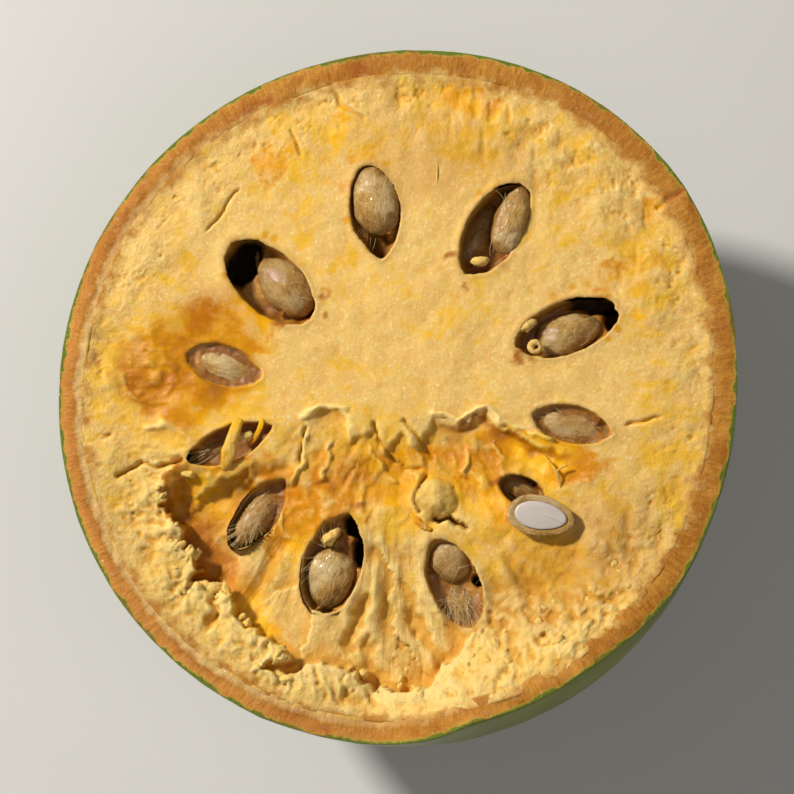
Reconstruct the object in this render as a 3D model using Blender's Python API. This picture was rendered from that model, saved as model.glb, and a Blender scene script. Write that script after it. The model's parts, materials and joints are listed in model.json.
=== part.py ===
"""One half of a bael fruit, cut across and lying on its round outside with the cut face up.

Metres, +Z up. The origin is the middle of the small flat that the shell rests on, and +Y is the top of the
cut face as it is looked down on. Azimuths run anticlockwise from +X.

The woody shell is a cup, the pulp fills it, and each seed lies loose in a nest in its locule. The upper part of
the face was cut clean. The lower part was broken open: it has a torn hollow with a ragged edge, a sunken middle
under a thin flap, and a stretch of shell and pulp that stands higher than the rest.
"""

import math
from collections import namedtuple

import bmesh
import bpy
import numpy as np
from mathutils import Matrix, Vector

MM = 0.001

# Driving dimensions of the whole fruit
MEAN_RADIUS = 45.0 * MM
EQUATOR_HEIGHT = 40.0 * MM
DEPTH_BELOW_EQUATOR = 40.6 * MM
RISE_ABOVE_EQUATOR = 36.0 * MM
CUT_HEIGHT = 42.0 * MM
SHELL_THICKNESS = 3.7 * MM
FITTING_GAP = 0.3 * MM
WELD_DISTANCE = 0.01 * MM

# The outline is not quite round: each swell is (how many lobes, share of the radius, azimuth of a lobe)
OUTLINE_SWELLS = ((2, 0.0187, 67.6), (3, 0.0089, 47.1), (4, 0.0038, 40.1))

# How finely the solids are faceted
BALL_SEGMENTS = 52
BALL_RINGS = 30
FACE_CELL = 1.65 * MM
FACE_REACH_SHARE = 1.06
SEED_SEGMENTS = 10
SEED_RINGS = 8
LOCULE_SEGMENTS = 16
LOCULE_RINGS = 12

# The scar that the stalk left, sunk in the middle of the resting flat
SCAR_RADIUS = 3.2 * MM
SCAR_DEPTH = 0.7 * MM
SCAR_FLOOR_SHARE = 0.8
SCAR_SEGMENTS = 24

# A locule opens on the face as an oval: azimuth and distance of its middle, length outwards, width, and how far
# its long axis is turned from straight outwards, in degrees and mm
Locule = namedtuple("Locule", "azimuth distance length width slant")
LOCULES = (
    Locule(138.9, 22.2, 14.4, 8.0, -1.4),
    Locule(97.4, 23.9, 12.5, 6.6, 0.6),
    Locule(60.0, 24.8, 13.7, 7.2, -3.0),
    Locule(21.4, 23.4, 14.0, 6.8, -1.4),
    Locule(-10.4, 22.8, 10.9, 5.0, -2.6),
    Locule(-38.3, 20.3, 6.6, 3.8, 13.3),
    Locule(-73.8, 25.5, 12.4, 6.6, 7.8),
    Locule(-111.5, 23.4, 13.4, 7.8, 4.5),
    Locule(-140.3, 23.9, 10.8, 5.2, 11.3),
    Locule(-164.0, 22.9, 12.0, 4.6, 6.0),
    Locule(170.5, 23.0, 10.4, 5.4, -8.4),
)
LOCULE_MIDDLE_BELOW_CUT = 3.0
LOCULE_HALF_DEPTH = 7.5

# A seed is a flattened oblong: place of its middle on the face, depth of its top under the cut (below zero where
# it stands out), length, width, thickness, and azimuth of its long axis, in mm and degrees
Seed = namedtuple("Seed", "x y top_below_cut length width thickness azimuth")
SEEDS = {
    "seed_01": Seed(-14.8, 14.5, 0.5, 9.4, 6.4, 4.4, 136.0),
    "seed_02": Seed(-18.9, 18.4, 5.3, 7.0, 4.6, 3.4, 120.0),
    "seed_03": Seed(-3.1, 25.4, -1.4, 9.2, 6.0, 4.2, 99.0),
    "seed_04": Seed(10.0, 21.0, 2.2, 9.2, 4.0, 3.6, 63.0),
    "seed_05": Seed(14.7, 22.6, -1.2, 9.2, 4.6, 3.4, 72.0),
    "seed_06": Seed(21.9, 7.9, 0.6, 9.0, 5.6, 4.6, 18.0),
    "seed_07": Seed(22.5, -4.2, 0.3, 9.8, 4.1, 3.8, -13.0),
    "seed_08": Seed(15.4, -12.1, 2.4, 5.6, 3.0, 2.8, -25.0),
    "seed_09": Seed(6.7, -21.6, 0.2, 5.9, 5.3, 4.2, -50.0),
    "seed_10": Seed(8.0, -27.4, 1.4, 6.2, 4.6, 4.0, -66.0),
    "seed_11": Seed(-9.1, -23.5, 1.7, 8.2, 6.5, 4.6, -104.0),
    "seed_12": Seed(-18.6, -15.5, 1.9, 9.4, 4.2, 4.0, 51.0),
    "seed_13": Seed(-22.8, -6.4, 1.8, 10.2, 3.6, 3.6, 22.0),
    "seed_14": Seed(-22.6, 3.8, 0.0, 9.6, 4.3, 4.0, -18.0),
}
SEED_TAPER = 0.14

# The seed that the knife went through lies level on the pulp, with its white kernel showing
CUT_SEED = Seed(18.4, -16.0, -3.6, 8.8, 5.2, 4.8, -10.0)
KERNEL_LENGTH = 6.8
KERNEL_WIDTH = 3.4
KERNEL_THICKNESS = 2.6
KERNEL_PROUD = 0.15

# The strand of pulp torn out over one locule, as points (x, y, height over the cut)
STRAND_POINTS = (
    (-20.6, -2.4, -1.2),
    (-21.0, -3.9, 0.5),
    (-21.7, -6.3, 1.0),
    (-22.4, -8.8, 0.3),
    (-22.9, -10.4, -1.6),
)
STRAND_RADIUS = 0.8 * MM

# The face is torn down in two places. Each has a ragged edge with a steep wall under it, where a point gives
# (x, y, depth just inside), and a far side where the floor runs out with no edge, as points (x, y), all in mm.
# The floor rises by a share of its depth on the way from the wall.
Tear = namedtuple("Tear", "edge run_out wall_width run_out_width rise_from rise_to rise_share")
HOLLOW = Tear(
    edge=(
        (-31.3, -11.0, 1.6),
        (-31.1, -14.1, 2.6),
        (-29.6, -16.8, 3.2),
        (-27.9, -17.7, 3.4),
        (-28.7, -19.5, 3.5),
        (-25.9, -22.6, 3.6),
        (-28.3, -25.7, 3.0),
        (-25.1, -24.7, 3.4),
        (-21.8, -26.4, 3.2),
        (-21.3, -28.9, 3.0),
        (-17.8, -31.2, 2.8),
        (-14.9, -33.7, 2.6),
        (-18.2, -35.4, 2.2),
        (-14.5, -36.9, 2.2),
        (-9.9, -34.4, 2.2),
        (-6.4, -36.1, 2.8),
        (-3.0, -38.4, 3.4),
        (1.2, -38.9, 3.4),
        (4.9, -37.3, 3.0),
        (6.1, -35.1, 2.4),
        (9.1, -32.5, 1.6),
        (10.9, -30.1, 0.8),
    ),
    run_out=((11.0, -22.0), (5.0, -18.5), (-6.0, -17.0), (-14.0, -8.0), (-20.0, -8.5), (-27.5, -8.5)),
    wall_width=1.0,
    run_out_width=4.0,
    rise_from=3.0,
    rise_to=18.0,
    rise_share=0.72,
)
SUNKEN_MIDDLE = Tear(
    edge=(
        (-13.5, -2.4, 0.5),
        (-10.0, -1.5, 1.1),
        (-6.9, -1.9, 1.2),
        (-6.2, -5.4, 0.8),
        (-3.4, -4.0, 0.8),
        (-1.9, -6.6, 1.0),
        (0.6, -4.2, 1.0),
        (2.4, -6.6, 1.1),
        (4.1, -2.9, 1.2),
        (7.5, -3.9, 1.4),
        (11.3, -2.3, 1.5),
        (12.9, -4.3, 1.5),
        (15.6, -5.2, 1.5),
        (17.2, -6.7, 1.4),
        (20.5, -7.3, 1.0),
        (23.4, -7.9, 0.5),
    ),
    run_out=((22.0, -13.0), (14.0, -18.0), (2.0, -17.5), (-8.0, -15.0), (-14.5, -9.0)),
    wall_width=0.9,
    run_out_width=6.0,
    rise_from=5.0,
    rise_to=14.0,
    rise_share=0.5,
)
# A point of the face's net that lies this near a ragged edge, as a share of a cell, is moved onto it
SNAP_SHARE = 0.34

# Where the shell was broken instead of cut, it stands higher
HIGH_RIM_RISE = 7.0
HIGH_RIM_AZIMUTHS = (-97.0, -74.0, -62.0, -26.0)
HIGH_RIM_WAVE = 0.16
HIGH_RIM_WAVE_SPACING = 5.0
HIGH_RIM_WAVE_SEED = 7
HIGH_RIM_FROM_RADIUS = 30.0
HIGH_RIM_TO_RADIUS = 43.0

# Crumbs along the ragged edge, and the mound over a seed that the pulp still covers
CRUMB_HEIGHT = 0.8
CRUMB_LEAST_SHARE = 0.45
CRUMB_REACH = 7.0
CRUMB_SPACING = 2.6
CRUMB_SEED = 3
MOUND_MIDDLE = (4.8, -13.5)
MOUND_RADIUS = 3.0
MOUND_HEIGHT = 1.7


def clear_scene():
    for leftover in list(bpy.data.objects):
        bpy.data.objects.remove(leftover, do_unlink=True)


def new_collection(name):
    made = bpy.data.collections.new(name)
    bpy.context.scene.collection.children.link(made)
    return made


def new_material(name, colour, roughness):
    made = bpy.data.materials.new(name)
    made.use_nodes = True
    shader = made.node_tree.nodes["Principled BSDF"]
    shader.inputs["Base Color"].default_value = (*colour, 1.0)
    shader.inputs["Roughness"].default_value = roughness
    shader.inputs["Metallic"].default_value = 0.0
    return made


def object_from(bm, name, collection, material=None):
    """A named object in a collection, from a bmesh whose faces are turned outwards first."""
    bmesh.ops.recalc_face_normals(bm, faces=bm.faces)
    mesh = bpy.data.meshes.new(name)
    bm.to_mesh(mesh)
    bm.free()
    made = bpy.data.objects.new(name, mesh)
    collection.objects.link(made)
    if material:
        mesh.materials.append(material)
        mesh.shade_smooth()
    return made


def as_cutter(cutter):
    cutter.hide_render = True
    cutter.display_type = "WIRE"
    return cutter


def add_boolean(target, operation, other=None, others=None):
    modifier = target.modifiers.new(operation.title(), "BOOLEAN")
    modifier.operation = operation
    modifier.solver = "EXACT"
    if others:
        modifier.operand_type = "COLLECTION"
        modifier.collection = others
    else:
        modifier.object = other


def smooth_step(low, high, value):
    share = np.clip((value - low) / (high - low), 0.0, 1.0)
    return share * share * (3.0 - 2.0 * share)


def outline_share(azimuth):
    """How far out the fruit reaches at an azimuth in radians, as a share of its mean radius."""
    swell = 1.0
    for lobes, share, lobe_azimuth in OUTLINE_SWELLS:
        swell = swell + share * np.cos(lobes * (azimuth - math.radians(lobe_azimuth)))
    return swell


def nearest_on_path(path, x, y):
    """For each point, its distance to an open path of (x, y) points, and where the nearest place lies: the
    number of the path's point before it, plus the share of the way to the next."""
    best = np.full(x.shape, np.inf)
    along = np.zeros(x.shape)
    for index in range(len(path) - 1):
        start_x, start_y = path[index][:2]
        step_x = path[index + 1][0] - start_x
        step_y = path[index + 1][1] - start_y
        share = ((x - start_x) * step_x + (y - start_y) * step_y) / (step_x**2 + step_y**2)
        share = np.clip(share, 0.0, 1.0)
        distance = np.hypot(x - start_x - share * step_x, y - start_y - share * step_y)
        nearer = distance < best
        best = np.where(nearer, distance, best)
        along = np.where(nearer, index + share, along)
    return best, along


def inside_polygon(corners, x, y):
    """Whether each point lies inside a closed outline of (x, y) corners, by counting crossings."""
    inside = np.zeros(x.shape, bool)
    for index, corner in enumerate(corners):
        before = corners[index - 1]
        crosses = (corner[1] > y) != (before[1] > y)
        rise = before[1] - corner[1] or 1.0
        reach = corner[0] + (before[0] - corner[0]) * (y - corner[1]) / rise
        inside ^= crosses & (x < reach)
    return inside


def value_noise(x, y, spacing, seed):
    """Smooth random heights from -1 to 1, with one random value at each corner of a square net."""
    across, up = x / spacing, y / spacing
    column, row = np.floor(across).astype(np.int64), np.floor(up).astype(np.int64)
    share_x = smooth_step(0.0, 1.0, across - column)
    share_y = smooth_step(0.0, 1.0, up - row)

    def corner(step_x, step_y):
        mixed = np.sin((column + step_x) * 127.1 + (row + step_y) * 311.7 + seed * 74.7) * 43758.5453
        return 2.0 * (mixed - np.floor(mixed)) - 1.0

    low = corner(0, 0) * (1 - share_x) + corner(1, 0) * share_x
    high = corner(0, 1) * (1 - share_x) + corner(1, 1) * share_x
    return low * (1 - share_y) + high * share_y


def outline_of(tear):
    return [point[:2] for point in tear.edge] + list(tear.run_out)


def torn_depth(tear, x, y):
    """Depth of a torn place: steep under its ragged edge, then rising slowly to where it runs out."""
    edge_distance, along = nearest_on_path(tear.edge, x, y)
    depth_at_edge = np.interp(along, range(len(tear.edge)), [point[2] for point in tear.edge])
    far_side = [tear.edge[-1][:2], *tear.run_out, tear.edge[0][:2]]
    run_out_distance, _ = nearest_on_path(far_side, x, y)
    wall = smooth_step(0.0, tear.wall_width, edge_distance)
    floor = 1.0 - tear.rise_share * smooth_step(tear.rise_from, tear.rise_to, edge_distance)
    running_out = smooth_step(0.0, tear.run_out_width, run_out_distance)
    return inside_polygon(outline_of(tear), x, y) * depth_at_edge * wall * floor * running_out


def snap_to_edge(tear, x, y, reach):
    """Moves the points that lie within reach of a ragged edge onto it, so that the wall starts there."""
    snapped_x, snapped_y = x.copy(), y.copy()
    distance, along = nearest_on_path(tear.edge, x, y)
    near = distance < reach
    count = range(len(tear.edge))
    snapped_x[near] = np.interp(along[near], count, [point[0] for point in tear.edge])
    snapped_y[near] = np.interp(along[near], count, [point[1] for point in tear.edge])
    return snapped_x, snapped_y


def crumb_height(x, y):
    """The pulp stands up in crumbs on the outer side of the hollow's ragged edge."""
    edge_distance, _ = nearest_on_path(HOLLOW.edge, x, y)
    near = (1.0 - smooth_step(0.0, CRUMB_REACH, edge_distance)) * ~inside_polygon(outline_of(HOLLOW), x, y)
    uneven = value_noise(x, y, CRUMB_SPACING, CRUMB_SEED)
    return CRUMB_HEIGHT * near * (CRUMB_LEAST_SHARE + (1.0 - CRUMB_LEAST_SHARE) * uneven)


def rim_rise(x, y):
    azimuth = np.degrees(np.arctan2(y, x))
    begin, full, end, gone = HIGH_RIM_AZIMUTHS
    stretch = smooth_step(begin, full, azimuth) * (1.0 - smooth_step(end, gone, azimuth))
    uneven = 1.0 + HIGH_RIM_WAVE * value_noise(x, y, HIGH_RIM_WAVE_SPACING, HIGH_RIM_WAVE_SEED)
    from_middle = smooth_step(HIGH_RIM_FROM_RADIUS, HIGH_RIM_TO_RADIUS, np.hypot(x, y))
    return HIGH_RIM_RISE * uneven * stretch * from_middle


def face_height(x, y):
    """Height of the open face over the cut plane. All in mm."""
    mound_distance = np.hypot(x - MOUND_MIDDLE[0], y - MOUND_MIDDLE[1])
    mound = MOUND_HEIGHT * (1.0 - smooth_step(0.0, MOUND_RADIUS, mound_distance))
    hollow = torn_depth(HOLLOW, x, y)
    sunk = np.maximum(hollow, torn_depth(SUNKEN_MIDDLE, x, y))
    rise = rim_rise(x, y) / (1.0 + hollow)
    return rise + crumb_height(x, y) + mound - sunk


def ball(name, inset, collection, material=None):
    """The whole fruit as a ball with the real outline, drawn in by an inset, and cut level at the base."""
    bm = bmesh.new()
    bmesh.ops.create_uvsphere(bm, u_segments=BALL_SEGMENTS, v_segments=BALL_RINGS, radius=1.0)
    for vertex in bm.verts:
        reach = MEAN_RADIUS * outline_share(math.atan2(vertex.co.y, vertex.co.x)) - inset
        half_height = DEPTH_BELOW_EQUATOR if vertex.co.z < 0 else RISE_ABOVE_EQUATOR
        vertex.co = Vector(
            (
                vertex.co.x * reach,
                vertex.co.y * reach,
                EQUATOR_HEIGHT + vertex.co.z * (half_height - inset),
            )
        )
    everything = [*bm.verts, *bm.edges, *bm.faces]
    bmesh.ops.bisect_plane(bm, geom=everything, plane_co=(0, 0, 0), plane_no=(0, 0, -1), clear_outer=True)
    bmesh.ops.holes_fill(bm, edges=[edge for edge in bm.edges if edge.is_boundary], sides=0)
    return object_from(bm, name, collection, material)


def air_over_face(collection):
    """What the knife and the break took away: everything over the open face."""
    reach = MEAN_RADIUS * FACE_REACH_SHARE
    cells = round(2 * reach / FACE_CELL)
    bm = bmesh.new()
    bmesh.ops.create_grid(bm, x_segments=cells, y_segments=cells, size=reach)
    x = np.array([vertex.co.x for vertex in bm.verts]) / MM
    y = np.array([vertex.co.y for vertex in bm.verts]) / MM
    for tear in (HOLLOW, SUNKEN_MIDDLE):
        x, y = snap_to_edge(tear, x, y, SNAP_SHARE * FACE_CELL / MM)
    for vertex, place in zip(bm.verts, zip(x, y, face_height(x, y))):
        vertex.co = Vector(place) * MM
        vertex.co.z += CUT_HEIGHT
    raised = bmesh.ops.extrude_face_region(bm, geom=list(bm.faces))["geom"]
    for element in raised:
        if isinstance(element, bmesh.types.BMVert):
            element.co.z = EQUATOR_HEIGHT + 2 * RISE_ABOVE_EQUATOR
    return as_cutter(object_from(bm, "air_over_face", collection))


def locule_cutter(index, locule, collection):
    """The oval chamber under one opening: an ellipsoid whose widest part lies under the cut."""
    narrowing = math.sqrt(1.0 - (LOCULE_MIDDLE_BELOW_CUT / LOCULE_HALF_DEPTH) ** 2)
    bm = bmesh.new()
    bmesh.ops.create_uvsphere(bm, u_segments=LOCULE_SEGMENTS, v_segments=LOCULE_RINGS, radius=MM)
    half_sizes = (locule.length / 2 / narrowing, locule.width / 2 / narrowing, LOCULE_HALF_DEPTH)
    bmesh.ops.scale(bm, vec=half_sizes, verts=bm.verts)
    made = as_cutter(object_from(bm, f"locule_{index:02d}", collection))
    azimuth = math.radians(locule.azimuth)
    made.location = (
        locule.distance * MM * math.cos(azimuth),
        locule.distance * MM * math.sin(azimuth),
        CUT_HEIGHT - LOCULE_MIDDLE_BELOW_CUT * MM,
    )
    made.rotation_euler.z = math.radians(locule.azimuth + locule.slant)
    return made


def seed_bmesh(length, width, thickness):
    """A flattened oblong along X, broader at one end. The sizes are in mm."""
    bm = bmesh.new()
    along_x = Matrix.Rotation(math.pi / 2, 4, "Y")
    bmesh.ops.create_uvsphere(
        bm, u_segments=SEED_SEGMENTS, v_segments=SEED_RINGS, radius=1.0, matrix=along_x
    )
    for vertex in bm.verts:
        taper = 1.0 - SEED_TAPER * vertex.co.x
        vertex.co.x *= length / 2 * MM
        vertex.co.y *= width / 2 * taper * MM
        vertex.co.z *= thickness / 2 * taper * MM
    return bm


def place_seed(made, seed):
    made.location = (
        seed.x * MM,
        seed.y * MM,
        CUT_HEIGHT - (seed.top_below_cut + seed.thickness / 2) * MM,
    )
    made.rotation_euler.z = math.radians(seed.azimuth)
    return made


def seed_solid(name, seed, collection, material=None, grow=0.0):
    bm = seed_bmesh(seed.length + 2 * grow, seed.width + 2 * grow, seed.thickness + 2 * grow)
    return place_seed(object_from(bm, name, collection, material), seed)


def lower_half(bm):
    """Keeps what is under the middle of a seed, with a level top."""
    everything = [*bm.verts, *bm.edges, *bm.faces]
    bmesh.ops.bisect_plane(bm, geom=everything, plane_co=(0, 0, 0), plane_no=(0, 0, 1), clear_outer=True)
    bmesh.ops.remove_doubles(bm, verts=bm.verts, dist=WELD_DISTANCE)
    bmesh.ops.holes_fill(bm, edges=[edge for edge in bm.edges if edge.is_boundary], sides=0)
    return bm


def cut_seed(parts, cutters, coat_material, kernel_material):
    """The halved seed: a thick woolly coat with the white kernel let into its level top, a little proud."""
    coat_bm = lower_half(seed_bmesh(CUT_SEED.length, CUT_SEED.width, CUT_SEED.thickness))
    coat = place_seed(object_from(coat_bm, "cut_seed_coat", parts, coat_material), CUT_SEED)
    gap = FITTING_GAP / MM
    socket_bm = seed_bmesh(KERNEL_LENGTH + 2 * gap, KERNEL_WIDTH + 2 * gap, KERNEL_THICKNESS + 2 * gap)
    socket = as_cutter(place_seed(object_from(socket_bm, "kernel_socket", cutters), CUT_SEED))
    socket.location.z += KERNEL_PROUD * MM
    add_boolean(coat, "DIFFERENCE", other=socket)
    kernel_bm = lower_half(seed_bmesh(KERNEL_LENGTH, KERNEL_WIDTH, KERNEL_THICKNESS))
    kernel = place_seed(object_from(kernel_bm, "cut_seed_kernel", parts, kernel_material), CUT_SEED)
    kernel.location.z += KERNEL_PROUD * MM


def torn_strand(collection):
    """The strand over one locule, as a welded mesh that the pulp is joined with."""
    curve = bpy.data.curves.new("strand_line", "CURVE")
    curve.dimensions = "3D"
    curve.bevel_depth = STRAND_RADIUS
    curve.bevel_resolution = 1
    curve.resolution_u = 3
    curve.use_fill_caps = True
    spline = curve.splines.new("BEZIER")
    spline.bezier_points.add(len(STRAND_POINTS) - 1)
    for point, (x, y, height) in zip(spline.bezier_points, STRAND_POINTS):
        point.co = (x * MM, y * MM, CUT_HEIGHT + height * MM)
        point.handle_left_type = point.handle_right_type = "AUTO"
    line = bpy.data.objects.new("strand_line", curve)
    collection.objects.link(line)
    bpy.context.view_layer.update()
    evaluated = line.evaluated_get(bpy.context.evaluated_depsgraph_get())
    bm = bmesh.new()
    bm.from_mesh(bpy.data.meshes.new_from_object(evaluated))
    bmesh.ops.remove_doubles(bm, verts=bm.verts, dist=WELD_DISTANCE)
    bpy.data.objects.remove(line, do_unlink=True)
    return as_cutter(object_from(bm, "strand", collection))


def woody_shell(parts, cutters, air, material):
    shell = ball("shell", 0.0, parts, material)
    add_boolean(shell, "DIFFERENCE", other=as_cutter(ball("shell_inside", SHELL_THICKNESS, cutters)))
    add_boolean(shell, "DIFFERENCE", other=air)
    bm = bmesh.new()
    bmesh.ops.create_cone(
        bm,
        cap_ends=True,
        segments=SCAR_SEGMENTS,
        radius1=SCAR_RADIUS,
        radius2=SCAR_RADIUS * SCAR_FLOOR_SHARE,
        depth=2 * SCAR_DEPTH,
    )
    add_boolean(shell, "DIFFERENCE", other=as_cutter(object_from(bm, "stalk_scar", cutters)))


def pulp_body(parts, cutters, air, material):
    pulp = ball("pulp", SHELL_THICKNESS + FITTING_GAP, parts, material)
    add_boolean(pulp, "DIFFERENCE", other=air)
    chambers = bpy.data.collections.new("chambers")
    cutters.children.link(chambers)
    for index, locule in enumerate(LOCULES, start=1):
        locule_cutter(index, locule, chambers)
    add_boolean(pulp, "DIFFERENCE", others=chambers)
    add_boolean(pulp, "UNION", other=torn_strand(cutters))
    nests = bpy.data.collections.new("nests")
    cutters.children.link(nests)
    gap = FITTING_GAP / MM
    for name, seed in (*SEEDS.items(), ("cut_seed", CUT_SEED)):
        as_cutter(seed_solid(f"{name}_nest", seed, nests, grow=gap))
    add_boolean(pulp, "DIFFERENCE", others=nests)


def main():
    clear_scene()
    parts = new_collection("halved_bael_fruit")
    cutters = new_collection("cutters")
    shell_material = new_material("woody_shell", (0.16, 0.24, 0.05), 0.55)
    pulp_material = new_material("pulp", (0.79, 0.50, 0.13), 0.45)
    seed_material = new_material("seed_coat", (0.44, 0.25, 0.09), 0.5)
    kernel_material = new_material("seed_kernel", (0.62, 0.54, 0.48), 0.4)

    air = air_over_face(cutters)
    woody_shell(parts, cutters, air, shell_material)
    pulp_body(parts, cutters, air, pulp_material)
    for name, seed in SEEDS.items():
        seed_solid(name, seed, parts, seed_material)
    cut_seed(parts, cutters, seed_material, kernel_material)
    cutters.hide_render = True


main()
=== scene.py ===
"""Looks of a halved bael fruit that lies on its round outside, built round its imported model.

Laid out as an add-on and run as a script. Shapes are worked out in millimetres and become metres where
their mesh is made. Places on the cut face are (x, y) with +Y towards the top of the face and the middle of
the fruit at the origin. Azimuths run anticlockwise from +X. Heights on the face are counted from the cut
plane. A number that ends a call of noise, fractal or lumps is the seed of that noise.
"""

import json
import math
from collections import namedtuple

import bmesh
import bpy
import numpy as np
from bpy.props import FloatProperty, FloatVectorProperty, PointerProperty
from bpy.types import Operator, Panel, PropertyGroup
from mathutils import Matrix, Vector

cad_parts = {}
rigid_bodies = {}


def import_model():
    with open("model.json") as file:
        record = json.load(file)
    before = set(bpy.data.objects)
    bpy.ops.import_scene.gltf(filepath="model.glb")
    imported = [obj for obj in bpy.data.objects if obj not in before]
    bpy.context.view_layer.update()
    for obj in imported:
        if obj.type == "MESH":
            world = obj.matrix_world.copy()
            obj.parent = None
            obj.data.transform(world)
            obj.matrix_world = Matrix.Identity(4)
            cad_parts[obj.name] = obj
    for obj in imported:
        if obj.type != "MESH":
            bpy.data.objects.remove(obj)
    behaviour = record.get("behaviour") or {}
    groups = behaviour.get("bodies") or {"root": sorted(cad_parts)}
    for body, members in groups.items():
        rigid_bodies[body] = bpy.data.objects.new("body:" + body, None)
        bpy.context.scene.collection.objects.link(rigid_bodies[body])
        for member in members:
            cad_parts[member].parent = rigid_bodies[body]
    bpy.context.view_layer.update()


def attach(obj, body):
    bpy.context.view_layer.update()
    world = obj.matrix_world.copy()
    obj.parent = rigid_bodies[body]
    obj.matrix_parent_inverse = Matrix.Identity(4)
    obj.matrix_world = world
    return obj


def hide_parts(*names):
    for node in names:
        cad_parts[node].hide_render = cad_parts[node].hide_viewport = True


bl_info = {
    "name": "Halved bael fruit",
    "version": (1, 0, 0),
    "blender": (4, 5, 0),
    "location": "3D view, sidebar, Bael",
    "description": "Shell, pulp, seeds and gum of a halved bael fruit, with a plain studio stage",
    "category": "Object",
}

for leftover in list(bpy.data.objects):
    bpy.data.objects.remove(leftover, do_unlink=True)
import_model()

MM = 0.001

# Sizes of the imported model, in mm
MEAN_RADIUS = 45.0
EQUATOR_HEIGHT = 40.0
DEPTH_BELOW_EQUATOR = 40.6
RISE_ABOVE_EQUATOR = 36.0
CUT_HEIGHT = 42.0
SHELL_THICKNESS = 3.7
SCAR_RADIUS = 3.2
SCAR_DEPTH = 0.7
OUTLINE_SWELLS = ((2, 0.0187, 67.6), (3, 0.0089, 47.1), (4, 0.0038, 40.1))

# How finely the visible pieces are made
NET_CELLS = 296
SHELL_COLUMNS = 720
SKIN_ROWS = 64
WOOD_ROWS = 18
SEED_COLUMNS = 72
SEED_ROWS = 44
PAD_COLUMNS = 96
GUM_ROWS = 30
FIBRE_POINTS = 7

# A locule: azimuth and distance of its middle, length outwards, width, how far its long axis is turned from
# straight outwards, how pointed its inner and outer ends are (0.5 is an oval, 1 a pointed leaf), and how far
# under the cut the gum stands in it
Locule = namedtuple("Locule", "azimuth distance length width slant inner outer gum_depth")
LOCULES = (
    Locule(138.9, 22.2, 14.4, 8.0, -1.4, 0.6, 0.5, 3.0),
    Locule(97.4, 23.9, 12.5, 6.6, 0.6, 0.85, 0.5, 1.9),
    Locule(60.0, 24.8, 13.7, 7.2, -3.0, 0.6, 0.6, 3.6),
    Locule(21.4, 23.4, 14.0, 6.8, -1.4, 0.6, 0.5, 2.7),
    Locule(-10.4, 22.8, 10.9, 5.0, -2.6, 0.65, 0.75, 0.9),
    Locule(-38.3, 20.3, 6.6, 3.8, 13.3, 0.6, 0.8, 2.6),
    Locule(-73.8, 25.5, 12.4, 6.6, 7.8, 0.6, 0.6, 1.6),
    Locule(-111.5, 23.4, 13.4, 7.8, 4.5, 0.75, 0.5, 2.2),
    Locule(-140.3, 23.9, 10.8, 5.2, 11.3, 0.7, 0.65, 1.1),
    Locule(-164.0, 22.9, 12.0, 4.6, 6.0, 0.8, 0.65, 2.0),
    Locule(170.5, 23.0, 10.4, 5.4, -8.4, 0.85, 0.6, 0.5),
)
LOCULE_MIDDLE_BELOW_CUT = 3.0
LOCULE_HALF_DEPTH = 7.5

# Holes in the gum, as x, y, half length, half width, azimuth and depth
GUM_HOLES = (
    (-20.6, 17.6, 3.6, 2.3, 60.0, 5.5),
    (-11.9, 11.2, 0.9, 0.7, 0.0, 4.0),
    (-15.2, 10.9, 0.35, 0.3, 0.0, 2.0),
    (-3.0, 19.8, 2.4, 1.6, 90.0, 3.2),
    (14.2, 27.2, 1.6, 1.1, 0.0, 4.5),
    (11.8, 26.2, 1.2, 0.9, 30.0, 3.5),
    (25.0, 11.8, 3.6, 1.3, -8.0, 4.5),
    (27.6, 9.8, 1.2, 1.8, 0.0, 4.5),
    (26.9, -4.3, 1.4, 0.9, 0.0, 1.6),
    (16.3, -11.2, 1.5, 0.7, -15.0, 3.5),
    (10.2, -22.7, 0.45, 0.35, 0.0, 2.5),
    (10.1, -24.1, 0.8, 0.75, 0.0, 4.0),
    (-5.9, -16.6, 1.8, 1.3, 70.0, 5.0),
    (-5.0, -19.8, 2.6, 1.1, 84.0, 5.0),
    (-9.6, -28.1, 1.5, 0.5, 0.0, 3.0),
    (-21.8, -18.6, 0.7, 0.5, 30.0, 2.5),
    (-27.2, -7.9, 0.9, 0.8, 0.0, 4.5),
    (-24.4, -6.9, 2.0, 0.8, 10.0, 2.0),
)

# The underside of the gum: how wide it is as a share of the locule, and how far under the cut it lies there
GUM_UNDERSIDE = ((1.03, 4.5), (0.9, 7.2), (0.5, 8.6), (0.02, 9.0))

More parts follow.
